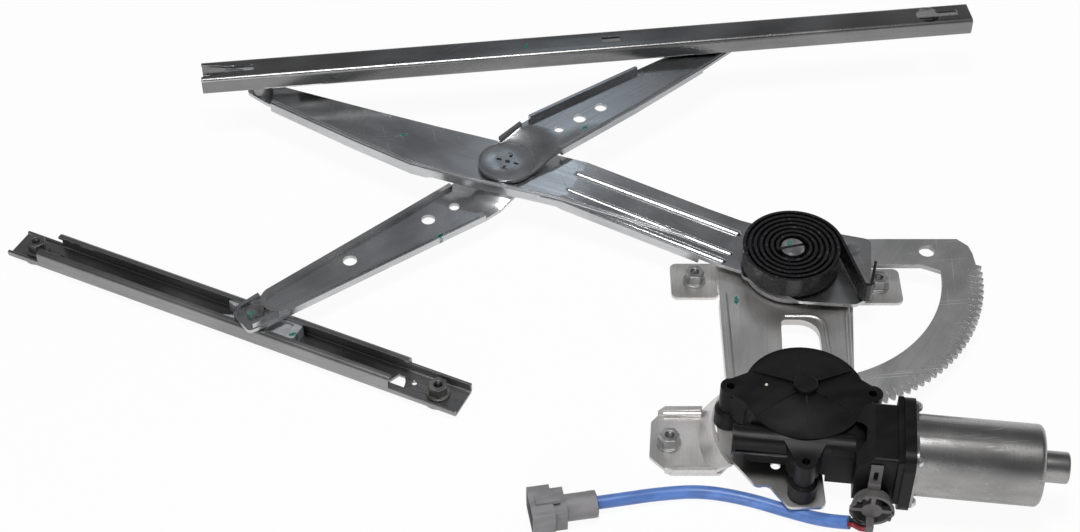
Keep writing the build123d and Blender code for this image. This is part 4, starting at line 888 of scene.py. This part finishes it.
class FASTENERS_OT_metal(bpy.types.Operator):
    """Finish the nuts, pins, rivets, studs and screws"""
    bl_idname = "regulator.fasteners"
    bl_label = "Nuts, pins, rivets and studs"

    def execute(self, context):
        dress_and_ride([
            ("mount_nuts", "base_weld_nuts", "nut", 0.3),
            ("guide_rail_nuts", "guide_weld_nuts", "guide nut", 0.3),
            ("pivot_pin", "slotted_pivot_pin", "pin", 0.3),
            ("pivot_washer", "pivot_washer_ring", "pin", 0.3),
            ("sector_rivets", "sector_rivet_heads", "pin", 0.5),
            ("centre_hub", "centre_hub_turning", "pin", 0.3),
            ("lift_stud", "lift_arm_stud", "stud", 0.3),
            ("glass_stud", "upper_arm_stud", "stud", 0.3),
            ("guide_stud", "lower_arm_stud", "stud", 0.4),
            ("housing_screws", "housing_screw_set", "nut", 0.3),
        ])
        self.tooth_facets()
        self.threads("base_nut_threads", ("nut_upper_left", "nut_upper_right", "nut_lower_left"), "base")
        self.threads("guide_nut_threads", ("guide_nut_left", "guide_nut_right"), "guide_rail")
        self.can_screws()
        return {"FINISHED"}

    def tooth_facets(self):
        """Coined wedges on the ring of the sector gear, one behind each tooth."""
        spots = [vertex.co - PIVOT for vertex in frame["nodes"]["sector_gear"].data.vertices]
        top = max(spot.z for spot in spots)
        tips = [spot for spot in spots if math.hypot(spot.x, spot.y) > TIP_R * MM]
        angles = [math.atan2(spot.y, spot.x) for spot in tips]
        phase = math.atan2(sum(math.sin(angle * TOOTH_COUNT) for angle in angles),
                           sum(math.cos(angle * TOOTH_COUNT) for angle in angles)) / TOOTH_COUNT
        step = math.tau / TOOTH_COUNT
        low = phase + math.ceil((min(angles) - phase) / step) * step
        count = int((max(angles) - low) / step)
        wedge = slab([(-FACET_LENGTH, -0.12), (0, -0.8), (0, 0.8), (-FACET_LENGTH, 0.12)], -0.05, 0.3, 0.8)
        for vertex in wedge.verts:
            if vertex.co.z > 0:
                vertex.co.z = max(0.02 * MM, vertex.co.z * (1 + vertex.co.x / (FACET_LENGTH * MM)))
        places = [(Matrix.Translation(Vector((PIVOT.x, PIVOT.y, PIVOT.z + top))),
                   {"Count": count, "Radius": FACET_R * MM, "Start": low + step / 2, "Step": step})]
        facets = repeated("sector_coined_facets", wedge, places, "sector")
        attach(facets, "lift_arm")

    def threads(self, name, mounts, body):
        """Ridges of the metric thread inside the weld nuts."""
        places = []
        for mount in frame["record"]["mounts"]:
            if mount["name"] in mounts:
                foot = Matrix.Translation(Vector(mount["pos_m"]) + Vector((0, 0, THREAD_FOOT * MM)))
                count = round((mount["dims"]["length_mm"] - THREAD_FOOT) / THREAD_PITCH)
                places.append((foot, {"Count": count, "Radius": 0.0, "Rise": THREAD_PITCH * MM}))
        ridge = revolved([(2.53, -0.42), (2.3, -0.06), (2.3, 0.06), (2.53, 0.42), (2.53, -0.42)], 20)
        finish = "nut" if body == "base" else "guide nut"
        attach(repeated(name, ridge, places, finish), body)

    def can_screws(self):
        """Three pan heads with a cross, on the corners of the can's flange."""
        head = revolved([(0, 2.4), (1.0, 2.35), (2.0, 2.0), (2.6, 1.2), (2.8, 0.5), (2.8, 0.0), (0, 0.0)], 20)
        raised = Matrix.Translation((0, 0, 2.12 * MM)) @ Matrix.Diagonal((3.0 * MM, 0.64 * MM, 0.7 * MM, 1))
        for turn in (0, math.pi / 2):
            bar = bmesh.ops.create_cube(head, size=1.0)["verts"]
            bmesh.ops.transform(head, matrix=Matrix.Rotation(turn, 4, "Z") @ raised, verts=bar)
        seat = motor_matrix(CAN_SEAT)
        reach = math.hypot(*CAN_SCREW) * MM
        first = math.atan2(CAN_SCREW[1], CAN_SCREW[0])
        places = [(seat, {"Count": 1, "Radius": reach, "Start": first}),
                  (seat, {"Count": 2, "Radius": reach, "Start": math.pi - first, "Step": 2 * first})]
        heads = repeated("can_screw_heads", head, places, "screw")
        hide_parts("can_screws")
        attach(heads, "base")


class SPRING_OT_coil(bpy.types.Operator):
    """Finish the spiral spring, which winds as the lift arm turns"""
    bl_idname = "regulator.spring"
    bl_label = "Spiral spring"

    def execute(self, context):
        coil = dressed("counter_spring", "spiral_spring", "spring", 0.25)
        rounded = solved(coil)
        coil.modifiers.clear()
        coil.data = rounded
        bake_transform(coil, "base", "lift_arm", tuple(PIVOT), tuple(PIVOT + Vector((SPRING_TAIL_R * MM, 0, 0))))
        shares = coil.data.attributes["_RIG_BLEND"].data
        for vertex, share in zip(coil.data.vertices, shares):
            reach = math.hypot(vertex.co.x - PIVOT.x, vertex.co.y - PIVOT.y) / MM
            share.value = min(max((reach - SPRING_EYE_R) / (SPRING_TAIL_R - SPRING_EYE_R), 0.0), 1.0)
        return {"FINISHED"}


class MOTOR_OT_gearmotor(bpy.types.Operator):
    """Finish the gear housing, its cover, the brush holder, the can and what turns inside"""
    bl_idname = "regulator.motor"
    bl_label = "Gear motor"

    def execute(self, context):
        dress_and_ride([
            ("gear_cover", "gear_cover_lid", "black", 0.4),
            ("brush_holder", "brush_holder_block", "black", 0.5),
            ("motor_can", "motor_can_shell", "can", 0.5),
            ("worm_bush", "worm_bush_ring", "bronze", 0.2),
            ("rear_bearing", "rear_bearing_ring", "bronze", 0.2),
            ("magnets", "field_magnets", "magnet", 0.3),
            ("output_wheel", "worm_wheel", "natural", 0.3),
            ("pinion_shaft", "pinion_and_shaft", "pin", 0.15),
            ("worm_shaft", "worm_and_shaft", "pin", 0.2),
            ("armature_core", "armature_stack", "magnet", 0.2),
            ("commutator", "commutator_drum", "copper", 0.2),
        ])
        housing = dressed("gear_housing", "gear_housing_shell", "black", 0.4, cutter=self.under_tube())
        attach(housing, "base")
        neck = slab(NECK, *NECK_HEIGHTS, MOULD_DRAFT)
        skirt = slab(SKIRT, *SKIRT_HEIGHTS, MOULD_DRAFT)
        for name, shape in (("housing_neck", neck), ("housing_skirt", skirt)):
            shape.transform(self.on_floor())
            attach(new_piece(name, shape, "black"), "base")
        inner, outer = SHAFT_GAP_R, HOLDER_BORE_R + 0.2
        start, end = HOLDER_WALL
        wall = revolved([(inner, start), (outer, start), (outer, end), (inner, end), (inner, start)], 48)
        wall.transform(motor_matrix(0))
        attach(new_piece("brush_holder_wall", wall, "black"), "base")
        pip = revolved([(0, 0.5), (0.5, 0.42), (0.8, 0.1), (0.9, -0.3), (0, -0.3)], 12)
        pip.transform(Matrix.Translation(from_pivot(*COVER_PIP)))
        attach(new_piece("cover_vent_pip", pip, "natural"), "base")
        return {"FINISHED"}

    def on_floor(self):
        """Turned with the motor, with heights from the floor."""
        return motor_matrix(0, 0, -MOTOR_ZERO.z / MM, "flat")

    def under_tube(self):
        """The space below the round tube of the worm, in front of the housing's wall."""
        corner = slab(UNDER_TUBE, *UNDER_TUBE_HEIGHTS)
        corner.transform(self.on_floor())
        tube = revolved([(0, -40), (TUBE_R, -40), (TUBE_R, 10), (0, 10)], 48)
        tube.transform(motor_matrix(0))
        return carved(corner, tube)


class SLIDERS_OT_blocks(bpy.types.Operator):
    """Finish the three moulded slider blocks"""
    bl_idname = "regulator.sliders"
    bl_label = "Sliders"

    def execute(self, context):
        dress_and_ride([
            ("lift_slider", "lift_slider_block", "slider", 0.4),
            ("equalizer_slider", "upper_slider_block", "slider", 0.4),
            ("guide_slider", "guide_slider_block", "slider", 0.4),
        ])
        return {"FINISHED"}


class VIEW3D_PT_regulator(bpy.types.Panel):
    """Sizes and steps of the regulator's finish"""
    bl_label = "Window regulator"
    bl_space_type = "VIEW_3D"
    bl_region_type = "UI"
    bl_category = "Regulator"

    def draw(self, context):
        looks = context.scene.regulator_looks
        for name in ("floor_size", "key_power", "sheen_power", "edge", "lens"):
            self.layout.prop(looks, name)
        for step in STEPS:
            self.layout.operator(step.bl_idname)


STEPS = (STAGE_OT_table, SLEEVE_OT_cord, PRESSINGS_OT_sheet, FASTENERS_OT_metal, SPRING_OT_coil,
         MOTOR_OT_gearmotor, SLIDERS_OT_blocks)


def register():
    bpy.utils.register_class(RegulatorLooks)
    bpy.types.Scene.regulator_looks = bpy.props.PointerProperty(type=RegulatorLooks)
    for step in STEPS:
        bpy.utils.register_class(step)
    bpy.utils.register_class(VIEW3D_PT_regulator)


def unregister():
    bpy.utils.unregister_class(VIEW3D_PT_regulator)
    for step in reversed(STEPS):
        bpy.utils.unregister_class(step)
    del bpy.types.Scene.regulator_looks
    bpy.utils.unregister_class(RegulatorLooks)


def main():
    register()
    for step in STEPS:
        family, name = step.bl_idname.split(".")
        getattr(getattr(bpy.ops, family), name)()


if __name__ == "__main__":
    main()
